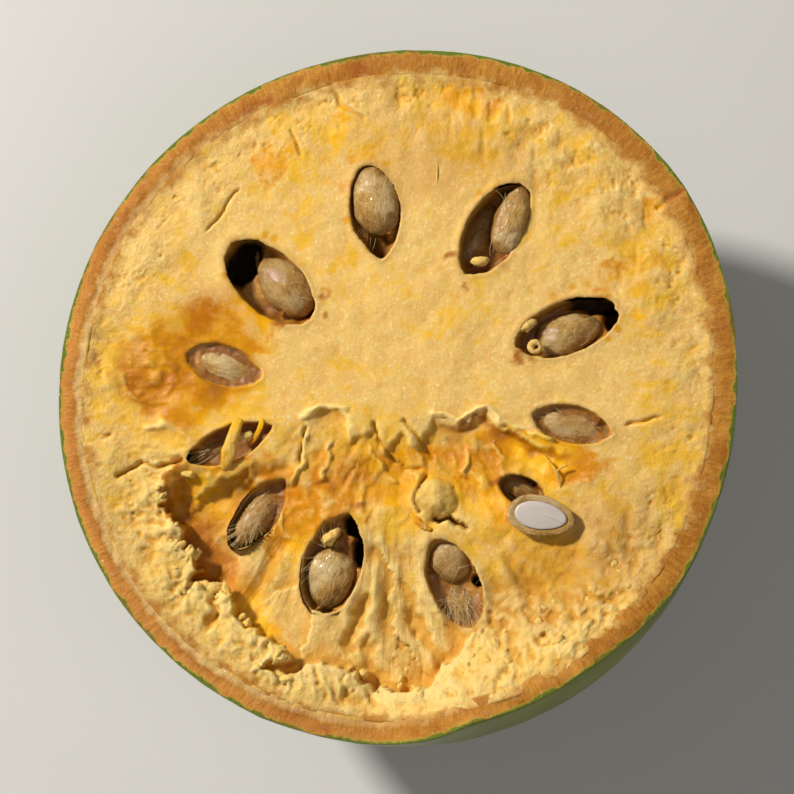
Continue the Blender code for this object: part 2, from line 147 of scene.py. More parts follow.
# A seed: place of its middle, depth of its top under the cut, length, width, thickness, azimuth of its long
# axis, how far its gummy coat has paled (0 is dark and wet, 1 pale and woolly), and how many loose fibres
Seed = namedtuple("Seed", "x y top_below_cut length width thickness azimuth paleness fibres")
SEEDS = {
    "seed_01": Seed(-14.8, 14.5, 0.5, 9.4, 6.4, 4.4, 136.0, 0.65, 2),
    "seed_02": Seed(-18.9, 18.4, 5.3, 7.0, 4.6, 3.4, 120.0, 0.45, 0),
    "seed_03": Seed(-3.1, 25.4, -1.4, 9.2, 6.0, 4.2, 99.0, 1.00, 6),
    "seed_04": Seed(10.0, 21.0, 2.2, 9.2, 4.0, 3.6, 63.0, 0.10, 0),
    "seed_05": Seed(14.7, 22.6, -1.2, 9.2, 4.6, 3.4, 72.0, 1.00, 5),
    "seed_06": Seed(21.9, 7.9, 0.6, 9.0, 5.6, 4.6, 18.0, 0.80, 6),
    "seed_07": Seed(22.5, -4.2, 0.3, 9.8, 4.1, 3.8, -13.0, 0.85, 3),
    "seed_08": Seed(15.4, -12.1, 2.4, 5.6, 3.0, 2.8, -25.0, 0.40, 3),
    "seed_09": Seed(6.7, -21.6, 0.2, 5.9, 5.3, 4.2, -50.0, 0.55, 8),
    "seed_10": Seed(8.0, -27.4, 1.4, 6.2, 4.6, 4.0, -66.0, 0.55, 50),
    "seed_11": Seed(-9.1, -23.5, 1.7, 8.2, 6.5, 4.6, -104.0, 1.00, 8),
    "seed_12": Seed(-18.6, -15.5, 1.9, 9.4, 4.2, 4.0, 51.0, 0.45, 18),
    "seed_13": Seed(-22.8, -6.4, 1.8, 10.2, 3.6, 3.6, 22.0, 0.30, 6),
    "seed_14": Seed(-22.6, 3.8, 0.0, 9.6, 4.3, 4.0, -18.0, 1.00, 3),
}
SEED_TAPER = 0.14
# Stretches of a rim that fine fibres bridge: the locule's number, the first and last azimuth, how many
BRIDGES = (
    (6, -70.0, 50.0, 46),
    (8, -40.0, 75.0, 34),
    (4, 120.0, 330.0, 26),
    (7, -160.0, -60.0, 16),
    (1, -60.0, 200.0, 14),
    (9, -30.0, 30.0, 10),
)
CUT_SEED = Seed(18.4, -16.0, -3.6, 8.8, 5.2, 4.8, -10.0, 0.8, 0)
KERNEL_LENGTH = 6.8
KERNEL_WIDTH = 3.5
KERNEL_PROUD = 0.15
KERNEL_GAP = 0.08

# The strand of pulp torn out over one locule, as points (x, y, height)
STRAND_POINTS = (
    (-20.6, -2.4, -1.2), (-21.0, -3.9, 0.5), (-21.7, -6.3, 1.0), (-22.4, -8.8, 0.3),
    (-22.9, -10.4, -1.6),
)
# The strand's half width, half thickness, how clear and how yellow it is
STRAND_LOOK = (0.92, 0.5, 0.25, 0.75)
# Smaller strands in the same order, each with points and their height over the face
RIBBONS = (
    (0.26, 0.10, 0.1, 0.5, ((20.9, -12.2, -0.1), (20.6, -10.8, 0.4), (20.3, -10.1, 0.7), (19.7, -9.4, 0.7))),
    (0.18, 0.10, 0.1, 0.5, ((20.4, -10.3, 0.6), (21.0, -9.7, 0.8), (21.9, -9.4, 0.7))),
    (0.18, 0.10, 0.3, 0.7, ((18.7, -8.0, 0.1), (19.4, -8.9, 0.5), (20.3, -9.8, 0.5))),
    (0.34, 0.12, 0.9, 0.9, ((-17.9, -2.6, -0.2), (-17.9, -4, 0.5), (-18.7, -5.6, 0.1), (-19.6, -6.6, -0.8))),
    (0.42, 0.08, 0.6, 0.9, ((1.5, -15.5, 0.0), (2.6, -16.8, 0.3), (4.2, -17.7, 0.1))),
    (0.12, 0.10, 0.0, 0.2, ((4.9, 31.3, 0.0), (5.0, 29.0, 0.1), (4.9, 27.2, 0.0))),
)
# The cut end of a strand in one locule, as a ring: middle, height, radius and half width
STUB = (17.7, 6.0, -0.1, 0.62, 0.42)

# The two torn places: a ragged edge of points (x, y, depth just inside), the far side where the floor runs
# out, how wide the wall and the running out are, and from where to where and by what share the floor rises
Tear = namedtuple("Tear", "edge run_out wall_width run_out_width rise_from rise_to rise_share")
HOLLOW = Tear(
    edge=(
        (-31.3, -11.0, 1.6), (-31.1, -14.1, 2.6), (-29.6, -16.8, 3.2), (-27.9, -17.7, 3.4),
        (-28.7, -19.5, 3.5), (-25.9, -22.6, 3.6), (-28.3, -25.7, 3.0), (-25.1, -24.7, 3.4),
        (-21.8, -26.4, 3.2), (-21.3, -28.9, 3.0), (-17.8, -31.2, 2.8), (-14.9, -33.7, 2.6),
        (-18.2, -35.4, 2.2), (-14.5, -36.9, 2.2), (-9.9, -34.4, 2.2), (-6.4, -36.1, 2.8),
        (-3.0, -38.4, 3.4), (1.2, -38.9, 3.4), (4.9, -37.3, 3.0), (6.1, -35.1, 2.4),
        (9.1, -32.5, 1.6), (10.9, -30.1, 0.8),
    ),
    run_out=((11.0, -22.0), (5.0, -18.5), (-6.0, -17.0), (-14.0, -8.0), (-20.0, -8.5), (-27.5, -8.5)),
    wall_width=0.5,
    run_out_width=4.0,
    rise_from=3.0,
    rise_to=18.0,
    rise_share=0.72,
)
SUNKEN_MIDDLE = Tear(
    edge=(
        (-13.5, -2.4, 0.5), (-10.0, -1.5, 1.1), (-6.9, -1.9, 1.2), (-6.2, -5.4, 0.8),
        (-3.4, -4.0, 0.8), (-1.9, -6.6, 1.0), (0.6, -4.2, 1.0), (2.4, -6.6, 1.1), (4.1, -2.9, 1.2),
        (7.5, -3.9, 1.4), (11.3, -2.3, 1.5), (12.9, -4.3, 1.5), (15.6, -5.2, 1.5),
        (17.2, -6.7, 1.4), (20.5, -7.3, 1.0), (23.4, -7.9, 0.5),
    ),
    run_out=((22.0, -13.0), (14.0, -18.0), (2.0, -17.5), (-8.0, -15.0), (-14.5, -9.0)),
    wall_width=0.9,
    run_out_width=6.0,
    rise_from=5.0,
    rise_to=14.0,
    rise_share=0.5,
)
# How far noise moves a torn edge, and how much of the middle's depth is sunk
EDGE_RAGGEDNESS = 0.36
SUNKEN_SHARE = 0.62

# How far the pulp reaches over the wood, how far its edge drops there and rises just inside, and how far the
# wood dips to meet it
PULP_OVERLAP = 0.9
EDGE_DROP = 0.50
EDGE_RISE = 0.10
WOOD_DIP = 0.5
# How much wider the bare wood is made than the shell is thick, so that no gap shows under the pulp
WOOD_EXTRA = 0.25

# The pulp's hidden underside, a bowl inside the shell: rings as shares of a quarter turn, how much narrower
# than the rim it is, how far under the cut it starts, and its gap over the shell's inside
BOWL_RINGS = (0.06, 0.3, 0.6, 0.85)
BOWL_SHRINK = 0.96
BOWL_TOP_DROP = 1.0
BOWL_GAP = 0.6

# The rim where the fruit broke: its rise, the azimuths where it begins, is full, ends and is gone, its wave,
# the most that anything stands over the cut, and the radii between which it rises
HIGH_RIM_RISE = 7.0
HIGH_RIM_AZIMUTHS = (-97.0, -74.0, -62.0, -26.0)
HIGH_RIM_WAVE = 0.16
HIGH_RIM_WAVE_SPACING = 5.0
HIGH_RIM_WAVE_SEED = 7
HIGHEST_RELIEF = 7.05
HIGH_RIM_FROM_RADIUS = 30.0
HIGH_RIM_TO_RADIUS = 43.0
HOLLOW_DEPTH = 3.4
# How far crumbs reach from the hollow's edge, how many points of that edge have a crest, and the point that
# the ridges of the crest run towards
CRUMB_REACH = 8.0
CREST_EDGE_POINTS = 14
CREST_MIDDLE = (-8.0, -14.0)
# The mound over a buried seed
MOUND_MIDDLE = (4.8, -13.5)
MOUND_RADIUS = 3.0
MOUND_HEIGHT = 1.25
MOUND_FULLNESS = 2.4

# Above this line, given as (x, y), the face was cut clean; below it the pulp was broken
BREAK_LINE = (
    (-45.0, -6.0), (-30.0, -9.0), (-20.0, -7.5), (-13.5, -2.4), (4.0, -2.8), (11.0, -2.5),
    (16.0, -5.5), (23.0, -8.5), (33.0, -12.0), (45.0, -16.0),
)

# Fine cracks: width, depth and the points that each runs through
CRACKS = (
    (0.35, 0.9, ((-3.3, -3.8), (-2.6, -5.9), (-1.2, -8.0), (0.7, -9.6), (2.8, -9.8))),
    (0.30, 0.7, ((0.4, -3.3), (2.5, -5.5), (4.1, -8.3))),
    (0.30, 0.8, ((-12.3, -4.2), (-12.7, -6.4), (-12.9, -8.9))),
    (0.40, 0.8, ((-28.2, -8.3), (-31.5, -9.4), (-33.6, -8.7), (-36.7, -10.4))),
    (0.45, 0.5, ((-8.9, 40.6), (-7.6, 37.9), (-4.6, 36.1))),
    (0.30, 0.4, ((-14.0, 34.6), (-13.0, 31.5))),
    (0.30, 0.4, ((-21.1, 26.8), (-23.0, 24.1), (-24.9, 21.7))),
    (0.42, 1.8, ((4.4, -16.1), (5.2, -16.5), (6.3, -16.0), (7.4, -16.9), (8.8, -17.4))),
    (0.35, 0.5, ((29.5, -4.1), (33.7, -3.1))),
    (0.40, 1.0, ((3.6, -10.6), (2.4, -12.0), (2.0, -13.8), (2.9, -15.4))),
    (0.40, 0.8, ((33.6, 24.0), (35.2, 25.2), (37.4, 26.6))),
)

# Soft raised welts: width, height and the points that each runs through
WELTS = (
    (0.85, 0.38, ((-35.4, 4.6), (-34.2, 6.0), (-32.0, 6.3), (-30.6, 5.2), (-29.4, 3.4))),
    (0.80, 0.34, ((-34.8, 1.6), (-33.4, 0.7), (-31.9, 1.4), (-31.4, 3.2), (-32.6, 4.3))),
    (0.70, 0.30, ((-36.2, 3.0), (-35.6, 0.9), (-33.9, -0.6), (-31.0, -0.9))),
    (0.60, 0.30, ((-30.0, 4.6), (-29.2, 2.2), (-30.2, 0.4))),
    (0.80, 0.55, ((-32.7, -4.2), (-30.4, -3.7), (-28.2, -4.6), (-26.9, -6.0))),
    (0.60, 0.60, ((-13.0, -2.7), (-10.2, -1.7), (-7.2, -1.8))),
    (0.45, 0.70, ((4.2, -2.5), (7.6, -3.3), (11.4, -1.7), (13.1, -3.5), (16.4, -4.6), (19.6, -6.4))),
    (0.50, 0.60, ((-12.0, -5.2), (-12.3, -8.4), (-13.6, -11.2))),
    (0.45, 0.55, ((-9.4, -5.0), (-9.0, -8.2), (-10.0, -10.6))),
    (0.45, 0.60, ((-4.0, -6.8), (-2.4, -9.4), (-0.4, -11.2))),
    (0.40, 0.55, ((8.6, -6.0), (9.2, -8.8), (8.2, -10.4))),
    (0.40, 0.50, ((11.6, -5.6), (13.4, -8.2), (13.2, -10.8))),
    (0.60, 0.50, ((-17.6, -13.2), (-15.4, -15.2), (-14.8, -18.4))),
)

# Soft valleys between the folds below: width, depth and the points that each runs through
VALLEYS = (
    (1.6, 0.9, ((-4.6, -27.0), (-5.9, -30.2), (-6.5, -32.5))),
    (1.9, 0.9, ((-4.6, -32.6), (-3.3, -36.0), (-2.4, -37.9))),
    (1.5, 0.9, ((1.6, -28.6), (3.9, -32.4), (5.2, -35.0))),
    (1.2, 0.9, ((-24.6, -25.0), (-23.6, -27.9), (-24.4, -30.0))),
)

# The point that layers and folds of the torn pulp fan out from, and the soft patches where they lie: x, y,
# half length, half width, azimuth and strength
FAN_MIDDLE = (-0.5, 5.5)
LAYER_PATCHES = (
    (1.5, -10.5, 17.5, 7.0, -3.0, 1.0),
    (18.5, -9.0, 9.0, 4.5, -18.0, 0.7),
    (-12.0, -8.0, 4.0, 6.0, 15.0, 0.6),
)
FOLD_PATCHES = (
    (0.5, -28.5, 8.5, 12.0, 0.0, 1.0),
    (-17.0, -24.0, 8.0, 6.0, 40.0, 0.45),
    (14.5, -27.0, 5.5, 6.5, 25.0, 0.7),
    (-33.0, 3.5, 5.0, 6.0, 80.0, 0.5),
)

# Soft patches of deep yellow, of clear gel and of darker orange-brown, in the same order.
# The orange-brown is partly the pulp's tone, partly painted shade; gel at (-24.0, -15.5) and (-13.1, -15.0)
# too.
YELLOW_PATCHES = (
    (-27.0, 3.0, 14.0, 13.0, 80.0, 0.9),
    (0.0, -11.0, 32.0, 9.5, -5.0, 0.95),
    (9.0, 36.0, 9.0, 6.0, 160.0, 0.8),
    (-14.0, 31.0, 13.0, 6.0, 40.0, 0.4),
    (32.0, 18.0, 9.0, 6.0, 115.0, 0.75),
    (35.0, -7.0, 5.0, 14.0, 10.0, 0.8),
    (17.0, -21.0, 13.0, 6.5, -10.0, 0.85),
    (24.0, -24.0, 10.0, 7.0, 40.0, 0.6),
    (-36.0, -8.0, 4.0, 12.0, 8.0, 0.5),
    (-24.0, -18.0, 9.0, 11.0, 40.0, 0.6),
    (-3.0, 31.5, 5.0, 6.0, 0.0, 0.5),
    (22.0, 30.0, 8.0, 4.0, 120.0, 0.5),
    (-8.5, 18.4, 4.5, 1.3, 40.0, 0.6),
    (-11.5, 22.6, 4.0, 1.2, 60.0, 0.6),
    (-14.4, 28.1, 3.5, 1.6, 50.0, 0.75),
    (-4.0, 3.5, 7.0, 1.6, -15.0, 0.5),
    (6.5, 1.2, 6.0, 1.3, 5.0, 0.45),
    (8.0, 11.0, 5.0, 1.2, 35.0, 0.45),
    (12.0, 30.0, 6.0, 1.8, 85.0, 0.6),
    (5.0, 20.0, 6.0, 1.4, 100.0, 0.45),
    (26.0, 20.5, 5.5, 1.8, 10.0, 0.7),
    (30.5, 1.5, 4.5, 1.8, 70.0, 0.6),
    (-28.5, 16.5, 5.5, 1.5, 75.0, 0.7),
    (-30.0, -2.0, 4.0, 1.6, 0.0, 0.5),
)
GEL_PATCHES = (
    (-25.6, 4.7, 9.5, 8.5, 70.0, 0.85),
    (-32.2, 3.4, 5.5, 4.0, 80.0, 0.9),
    (-20.0, 9.0, 8.0, 4.5, 40.0, 0.6),
    (18.4, -7.4, 10.5, 3.0, -14.0, 1.0),
    (2.6, -10.5, 17.0, 5.5, -4.0, 0.72),
    (-13.1, -15.0, 8.5, 4.5, 55.0, 0.8),
    (-24.0, -15.5, 6.0, 4.5, 20.0, 0.75),
    (-20.0, -10.5, 8.0, 2.5, 10.0, 0.6),
    (13.0, -14.0, 5.0, 4.0, -30.0, 0.85),
    (10.0, 39.0, 3.5, 5.0, 100.0, 0.55),
    (-7.0, 35.0, 3.0, 2.5, 60.0, 0.5),
    (-16.5, 30.7, 3.5, 2.5, 40.0, 0.5),
    (33.2, 23.6, 3.0, 2.4, 0.0, 0.5),
    (31.6, 10.2, 3.0, 2.5, 0.0, 0.45),
    (-6.0, 29.0, 3.0, 5.0, 95.0, 0.35),
    (27.0, 14.0, 9.0, 3.0, 30.0, 0.35),
)
AMBER_AND_SHADE_PATCHES = (
    (-26.0, 6.0, 9.5, 7.5, 70.0, 0.85),
    (-33.0, 3.5, 5.5, 4.5, 80.0, 0.80),
    (22.0, -23.0, 14.0, 8.0, 35.0, 0.42),
    (-19.0, -12.0, 8.0, 4.0, 20.0, 0.35),
    (2.0, -8.0, 14.0, 3.5, 0.0, 0.30),
    (6.0, 31.0, 12.0, 7.0, 0.0, 0.28),
)
# Single lumps of pulp: x, y, radius, height over the face, azimuth
LOOSE_LUMPS = (
    (-1.7, 21.4, 0.45, -0.6, 0.0),
    (10.6, 17.3, 0.70, -0.4, 10.0),
    (16.6, 8.9, 0.75, -0.6, 60.0),
    (-9.0, -18.4, 0.85, -0.7, 60.0),
    (-20.1, -5.4, 0.75, -0.2, 20.0),
    (-27.6, -10.2, 0.6, 0.0, 0.0),
    (-4.9, -36.2, 0.6, 0.1, 0.0),
)
# Red-brown stains: x, y and radius
RED_STAINS = (
    (-8.8, -11.9, 0.8), (-9.8, -11.5, 0.5), (-5.4, -14.3, 0.7), (-4.3, -16.4, 0.6),
    (-9.7, 13.1, 0.6), (-9.7, 10.8, 0.5), (-15.0, 8.9, 0.9), (-16.4, 9.3, 0.7), (8.3, 14.2, 0.7),
    (6.6, 18.1, 0.6), (13.3, 16.0, 0.9), (15.4, 4.4, 1.1), (17.2, 3.9, 0.8), (12.6, -11.4, 0.8),
)
# Golden dots of oil beside the locules: x and y
GOLD_DOTS = (
    (-17.5, 20.9), (-16.3, 20.5), (-22.7, 15.7), (-21.8, 14.7), (22.6, 13.8), (24.4, 14.2),
    (20.1, 12.6), (28.3, 8.3), (27.2, 7.0), (10.5, 26.2), (-1.8, 30.1), (-6.0, 27.7), (-6.7, 22.7),
)
# Red spots in the wood: x, y and radius, and the brown streak between wood and pulp at the upper left
RIM_SPOTS = (
    (-5.2, 42.9, 0.9), (-12.9, 41.3, 0.8), (-17.5, 38.7, 1.2), (2.2, 44.0, 0.6), (-9.5, -43.2, 0.9),
    (37.8, 24.2, 0.9),
)
RIM_STREAK = ((-28.5, 29.0), (-27.0, 30.6), (-22.8, 33.6), (-19.0, 37.6), (-17.5, 38.7))

# Crumbs along the crest: how many, least and greatest radius, reach outwards, lift in radii, how drawn out
CREST_CRUMBS = (
    (22, 0.35, 0.70, 0.2, -0.75, 1.25),
    (10, 0.2, 0.4, 5.0, -0.5, 1.0),
)
# Crumbs strewn over the broken lower right: how many, azimuths, distances from the middle and radii
STREWN_COUNT = 30
STREWN_AZIMUTHS = (-96.0, -38.0)
STREWN_DISTANCES = (33.5, 39.5)
STREWN_RADII = (0.2, 0.5)

# How far light goes into the pulp and into its crumbs
PULP_CLEARNESS = 0.28
CRUMB_CLEARNESS = 0.25

# Lights: name, azimuth, elevation, distance, size and power in metres and watts, and colour
LIGHTS = (
    ("key_light", 146.0, 36.0, 0.75, 0.09, 7.5, (1.0, 0.97, 0.92)),
    ("fill_light", -40.0, 60.0, 1.2, 0.9, 2.2, (1.0, 0.98, 0.95)),
)
STUDIO_COLOUR = (1.0, 0.98, 0.95, 1.0)
STUDIO_STRENGTH = 0.14
FLOOR_REACH = 3.0

# What the picture shows: its width at the cut face and its middle, in mm, and the side that the view leans to
FRAME_WIDTH = 102.9
VIEW_MIDDLE = (-0.26, -0.39)
VIEW_AZIMUTH = -57.0
SENSOR_WIDTH = 36.0


def length_property(name, description, metres):
    return FloatProperty(name=name, description=description, default=metres, unit="LENGTH")


class FruitSizes(PropertyGroup):
    """Sizes of the fine relief and of the view that a user would change."""

    grain_height: length_property("Grain height", "How far the pulp's grain stands out", 0.11 * MM)
    crumb_height: length_property("Crumb height", "How far crumbs along the torn edge stand out", 1.0 * MM)
    fibre_height: length_property("Fibre height", "How far fibres in the hollow stand out", 0.34 * MM)
    wool_radius: length_property("Wool radius", "Radius of a loose fibre on a seed", 0.022 * MM)
    skin_unevenness: length_property("Skin unevenness", "How far the skin swells and dips", 0.30 * MM)
    camera_distance: length_property("Camera distance", "From the camera to the cut face", 0.70)
    camera_tilt: FloatProperty(
        name="Camera tilt",
        description="How far the view leans from straight down",
        default=math.radians(6.5),
        subtype="ANGLE",
    )


def colour_property(name, description, colour):
    return FloatVectorProperty(
        name=name, description=description, default=colour, subtype="COLOR", size=3, min=0.0, max=1.0
    )


class FruitColours(PropertyGroup):
    """Colours of the pieces, in linear values."""

    skin: colour_property("Skin", "Green of the skin", (0.120, 0.165, 0.012))
    skin_spot: colour_property("Skin spots", "Paler specks and patches of the skin", (0.30, 0.32, 0.075))
    wood: colour_property("Shell wood", "Orange-tan wood of the shell on the cut", (0.42, 0.150, 0.010))
    wood_pale: colour_property("Pale wood", "Pale outer part of the wood", (0.64, 0.30, 0.040))
    cream: colour_property("Pulp", "Cream of the cut pulp", (0.81, 0.555, 0.175))
    yellow: colour_property("Ripe pulp", "Deep yellow of the riper pulp", (0.84, 0.475, 0.020))
    gum: colour_property("Gum", "Brown, fibrous gum round the seeds", (0.36, 0.125, 0.006))
    pale: colour_property("Torn pulp", "Pale dry crumbs of the torn pulp", (0.86, 0.58, 0.155))
    gel: colour_property("Gel", "Orange of the clear, juicy pulp", (0.95, 0.490, 0.004))
    # This red-brown also paints the shade under the flap
    stain_and_shade: colour_property("Stain", "Red-brown stains", (0.43, 0.125, 0.001))
    # This brown also paints the shade in deep cracks of the pulp
    wall: colour_property("Locule wall", "Brown lining of a locule", (0.16, 0.045, 0.010))
    coat: colour_property("Seed coat", "Brown of a wet seed", (0.32, 0.130, 0.014))
    wool: colour_property("Seed wool", "Tan wool of a seed", (0.66, 0.38, 0.085))
    kernel: colour_property("Kernel", "White of the cut kernel", (0.62, 0.55, 0.50))


class Shade:
    """Fixed shades of grain, streaks and dark places, and of painted shade and painted highlights, in linear
    values.
    """

    cream_dark = (0.80, 0.49, 0.13)
    grain_dark = (0.70, 0.41, 0.09)
    grain_light = (0.96, 0.78, 0.38)
    thread = (0.58, 0.31, 0.03)
    ridge_highlight = (0.93, 0.70, 0.27)
    dip_shade = (0.73, 0.36, 0.035)
    gel_deep = (0.70, 0.265, 0.001)
    gel_ridge_highlight = (0.95, 0.66, 0.13)
    amber = (0.42, 0.125, 0.001)
    mound_dark = (0.56, 0.31, 0.03)
    mound_light = (0.80, 0.56, 0.17)
    oil = (0.74, 0.36, 0.006)
    locule_shade = (0.015, 0.005, 0.001)
    wood_pink = (0.72, 0.27, 0.07)
    wood_layer = (0.76, 0.50, 0.20)
    under_skin = (0.50, 0.36, 0.05)
    wood_stain_and_shade = (0.42, 0.07, 0.008)
    wood_red = (0.36, 0.095, 0.010)
    wood_speck = (0.88, 0.60, 0.28)
    scuff = (0.16, 0.105, 0.03)
    scar = (0.10, 0.055, 0.02)
    dry_gum = (0.70, 0.52, 0.25)
    seed_fibre = (0.86, 0.66, 0.36)
    seed_grain = (0.88, 0.70, 0.40)
    seed_pore = (0.20, 0.075, 0.010)
    gum_tan = (0.56, 0.27, 0.035)
    gum_rim = (0.56, 0.25, 0.03)
    gum_hole_shade = (0.012, 0.004, 0.001)
    wool_light = (0.85, 0.68, 0.42)
    floor_dark = (0.60, 0.59, 0.57)
    floor_light = (0.64, 0.63, 0.61)


def scaled(colour, factor):
    return tuple(factor * part for part in colour)


def smooth_step(low, high, value):
    """Rises from 0 to 1 between two values, or falls where the first is the higher one."""
    share = np.clip((value - low) / (high - low), 0.0, 1.0)
    return share * share * (3.0 - 2.0 * share)


def falling(low, high, value):
    """Falls from 1 to 0 between two values."""
    return 1.0 - smooth_step(low, high, value)


def hashed(seed, *corners):
    """A random share from 0 to 1 for each corner of a net, always the same for the same corner."""
    mixed = np.full(np.shape(corners[0]), seed * 974634777, np.int64)
    for corner, factor in zip(corners, (374761393, 668265263, 1440662683)):
        mixed = mixed + corner.astype(np.int64) * factor
        mixed = (mixed ^ (mixed >> 15)) * 1274126177
    return ((mixed ^ (mixed >> 17)) & 0xFFFFFF) / 0xFFFFFF


def noise(places, spacing, seed):
    """Smooth random values from -1 to 1, one free value at each corner of a net. Places are 2 or 3 rows."""
    scaled = [place / spacing for place in places]
    cells = [np.floor(place) for place in scaled]
    shares = [smooth_step(0.0, 1.0, place - cell) for place, cell in zip(scaled, cells)]
    total = 0.0
    for steps in np.ndindex(*(2,) * len(places)):
        weight = 1.0
        for step, share in zip(steps, shares):
            weight = weight * (share if step else 1.0 - share)
        total = total + weight * hashed(seed, *[cell + step for cell, step in zip(cells, steps)])
    return 2.0 * total - 1.0


def fractal(places, spacing, seed, octaves=4, gain=0.5):
    """Noise summed over octaves of half the spacing each, kept within about -1 to 1."""
    total, weight, reach = 0.0, 1.0, 0.0
    for octave in range(octaves):
        total = total + weight * noise(places, spacing / 2**octave, seed + 31 * octave)
        reach += weight
        weight *= gain
    return total / reach


def nearest_cell(x, y, spacing, seed):
    """Distance in spacings to the nearest of points strewn one to a cell, and that point's random share."""
    column, row = np.floor(x / spacing), np.floor(y / spacing)
    best = np.full(x.shape, 9.0)
    share = np.zeros(x.shape)
    for step_x in (-1, 0, 1):
        for step_y in (-1, 0, 1):
            cell_x, cell_y = column + step_x, row + step_y
            point_x = cell_x + hashed(seed, cell_x, cell_y)
            point_y = cell_y + hashed(seed + 1, cell_x, cell_y)
            distance = np.hypot(x / spacing - point_x, y / spacing - point_y)
            nearer = distance < best
            best = np.where(nearer, distance, best)
            share = np.where(nearer, hashed(seed + 2, cell_x, cell_y), share)
    return best, share


def lumps(x, y, spacing, seed):
    """Rounded lumps with creases between them, from 0 to 1."""
    distance, share = nearest_cell(x, y, spacing, seed)
    return np.clip(1.0 - distance**2, 0.0, 1.0) * (0.6 + 0.4 * share)


def outline_share(azimuth):
    swell = 1.0
    for lobes, share, lobe_azimuth in OUTLINE_SWELLS:
        swell = swell + share * np.cos(lobes * (azimuth - math.radians(lobe_azimuth)))
    return swell


def ball_radius(azimuth, height, inset=0.0):
    """Distance from the axis to the fruit's outside, or to a layer an inset under it, at a height."""
    half_height = np.where(height < EQUATOR_HEIGHT, DEPTH_BELOW_EQUATOR, RISE_ABOVE_EQUATOR) - inset
    share = np.clip((height - EQUATOR_HEIGHT) / half_height, -1.0, 1.0)
    return (MEAN_RADIUS * outline_share(azimuth) - inset) * np.sqrt(1.0 - share**2)


def nearest_on_path(path, x, y):
    """Distance to an open path, and where along it: the point's number plus the share of the way onwards."""
    best = np.full(x.shape, np.inf)
    along = np.zeros(x.shape)
    for index in range(len(path) - 1):
        start_x, start_y = path[index][:2]
        step_x = path[index + 1][0] - start_x
        step_y = path[index + 1][1] - start_y
        share = ((x - start_x) * step_x + (y - start_y) * step_y) / (step_x**2 + step_y**2)
        share = np.clip(share, 0.0, 1.0)
        distance = np.hypot(x - start_x - share * step_x, y - start_y - share * step_y)
        nearer = distance < best
        best = np.where(nearer, distance, best)
        along = np.where(nearer, index + share, along)
    return best, along


def inside_polygon(corners, x, y):
    inside = np.zeros(x.shape, bool)
    for index, corner in enumerate(corners):
        before = corners[index - 1]
        crosses = (corner[1] > y) != (before[1] > y)
        rise = before[1] - corner[1] or 1.0
        reach = corner[0] + (before[0] - corner[0]) * (y - corner[1]) / rise
        inside ^= crosses & (x < reach)
    return inside


def outline_of(tear):
    return [point[:2] for point in tear.edge] + list(tear.run_out)


def torn_depth(tear, x, y):
    """Depth of a torn place: steep under its ragged edge, then rising slowly to where it runs out."""
    edge_distance, along = nearest_on_path(tear.edge, x, y)
    depth_at_edge = np.interp(along, range(len(tear.edge)), [point[2] for point in tear.edge])
    far_side = [tear.edge[-1][:2], *tear.run_out, tear.edge[0][:2]]
    run_out_distance, _ = nearest_on_path(far_side, x, y)
    wall = smooth_step(0.0, tear.wall_width, edge_distance)
    floor = 1.0 - tear.rise_share * smooth_step(tear.rise_from, tear.rise_to, edge_distance)
    running_out = smooth_step(0.0, tear.run_out_width, run_out_distance)
    return inside_polygon(outline_of(tear), x, y) * depth_at_edge * wall * floor * running_out


def rim_wave(x, y):
    """The same smooth random wave, from -1 to 1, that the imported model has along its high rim."""
    across, up = x / HIGH_RIM_WAVE_SPACING, y / HIGH_RIM_WAVE_SPACING
    column, row = np.floor(across), np.floor(up)
    share_x = smooth_step(0.0, 1.0, across - column)
    share_y = smooth_step(0.0, 1.0, up - row)

    def corner(step_x, step_y):
        mixed = np.sin((column + step_x) * 127.1 + (row + step_y) * 311.7 + HIGH_RIM_WAVE_SEED * 74.7)
        return 2.0 * np.mod(mixed * 43758.5453, 1.0) - 1.0

    low = corner(0, 0) * (1 - share_x) + corner(1, 0) * share_x
    high = corner(0, 1) * (1 - share_x) + corner(1, 1) * share_x
    return low * (1 - share_y) + high * share_y


def rim_rise(x, y):
    azimuth = np.degrees(np.arctan2(y, x))
    begin, full, end, gone = HIGH_RIM_AZIMUTHS
    stretch = smooth_step(begin, full, azimuth) * falling(end, gone, azimuth)
    uneven = 1.0 + HIGH_RIM_WAVE * rim_wave(x, y)
    from_middle = smooth_step(HIGH_RIM_FROM_RADIUS, HIGH_RIM_TO_RADIUS, np.hypot(x, y))
    return HIGH_RIM_RISE * uneven * stretch * from_middle


def broken_share(x, y):
    line = np.interp(x, [point[0] for point in BREAK_LINE], [point[1] for point in BREAK_LINE])
    return smooth_step(-0.6, 2.4, line - y + 0.8 * noise((x, y), 2.5, 41))


def waved(x, y, reach, spacing, seed):
    """Places moved a little by noise, so that what is drawn from them has a wavy edge."""
    return x + reach * noise((x, y), spacing, seed), y + reach * noise((x, y), spacing, seed + 1)


def oval_place(x, y, middle_x, middle_y, half_length, half_width, azimuth):
    """Places along and across an oval's axes, as shares of its half length and half width."""
    turn = math.radians(azimuth)
    along = ((x - middle_x) * math.cos(turn) + (y - middle_y) * math.sin(turn)) / half_length
    across = ((y - middle_y) * math.cos(turn) - (x - middle_x) * math.sin(turn)) / half_width
    return along, across


def ragged(x, y):
    """Places moved by coarse and fine noise, for the ragged edge of a tear."""
    shift_x = 1.7 * noise((x, y), 1.9, 11) + 1.0 * noise((x, y), 0.8, 12)
    shift_y = 1.7 * noise((x, y), 1.9, 13) + 1.0 * noise((x, y), 0.8, 14)
    return x + EDGE_RAGGEDNESS * shift_x, y + EDGE_RAGGEDNESS * shift_y


Face = namedtuple("Face", "height hollow crumbs broken gel layers folds dome amber")


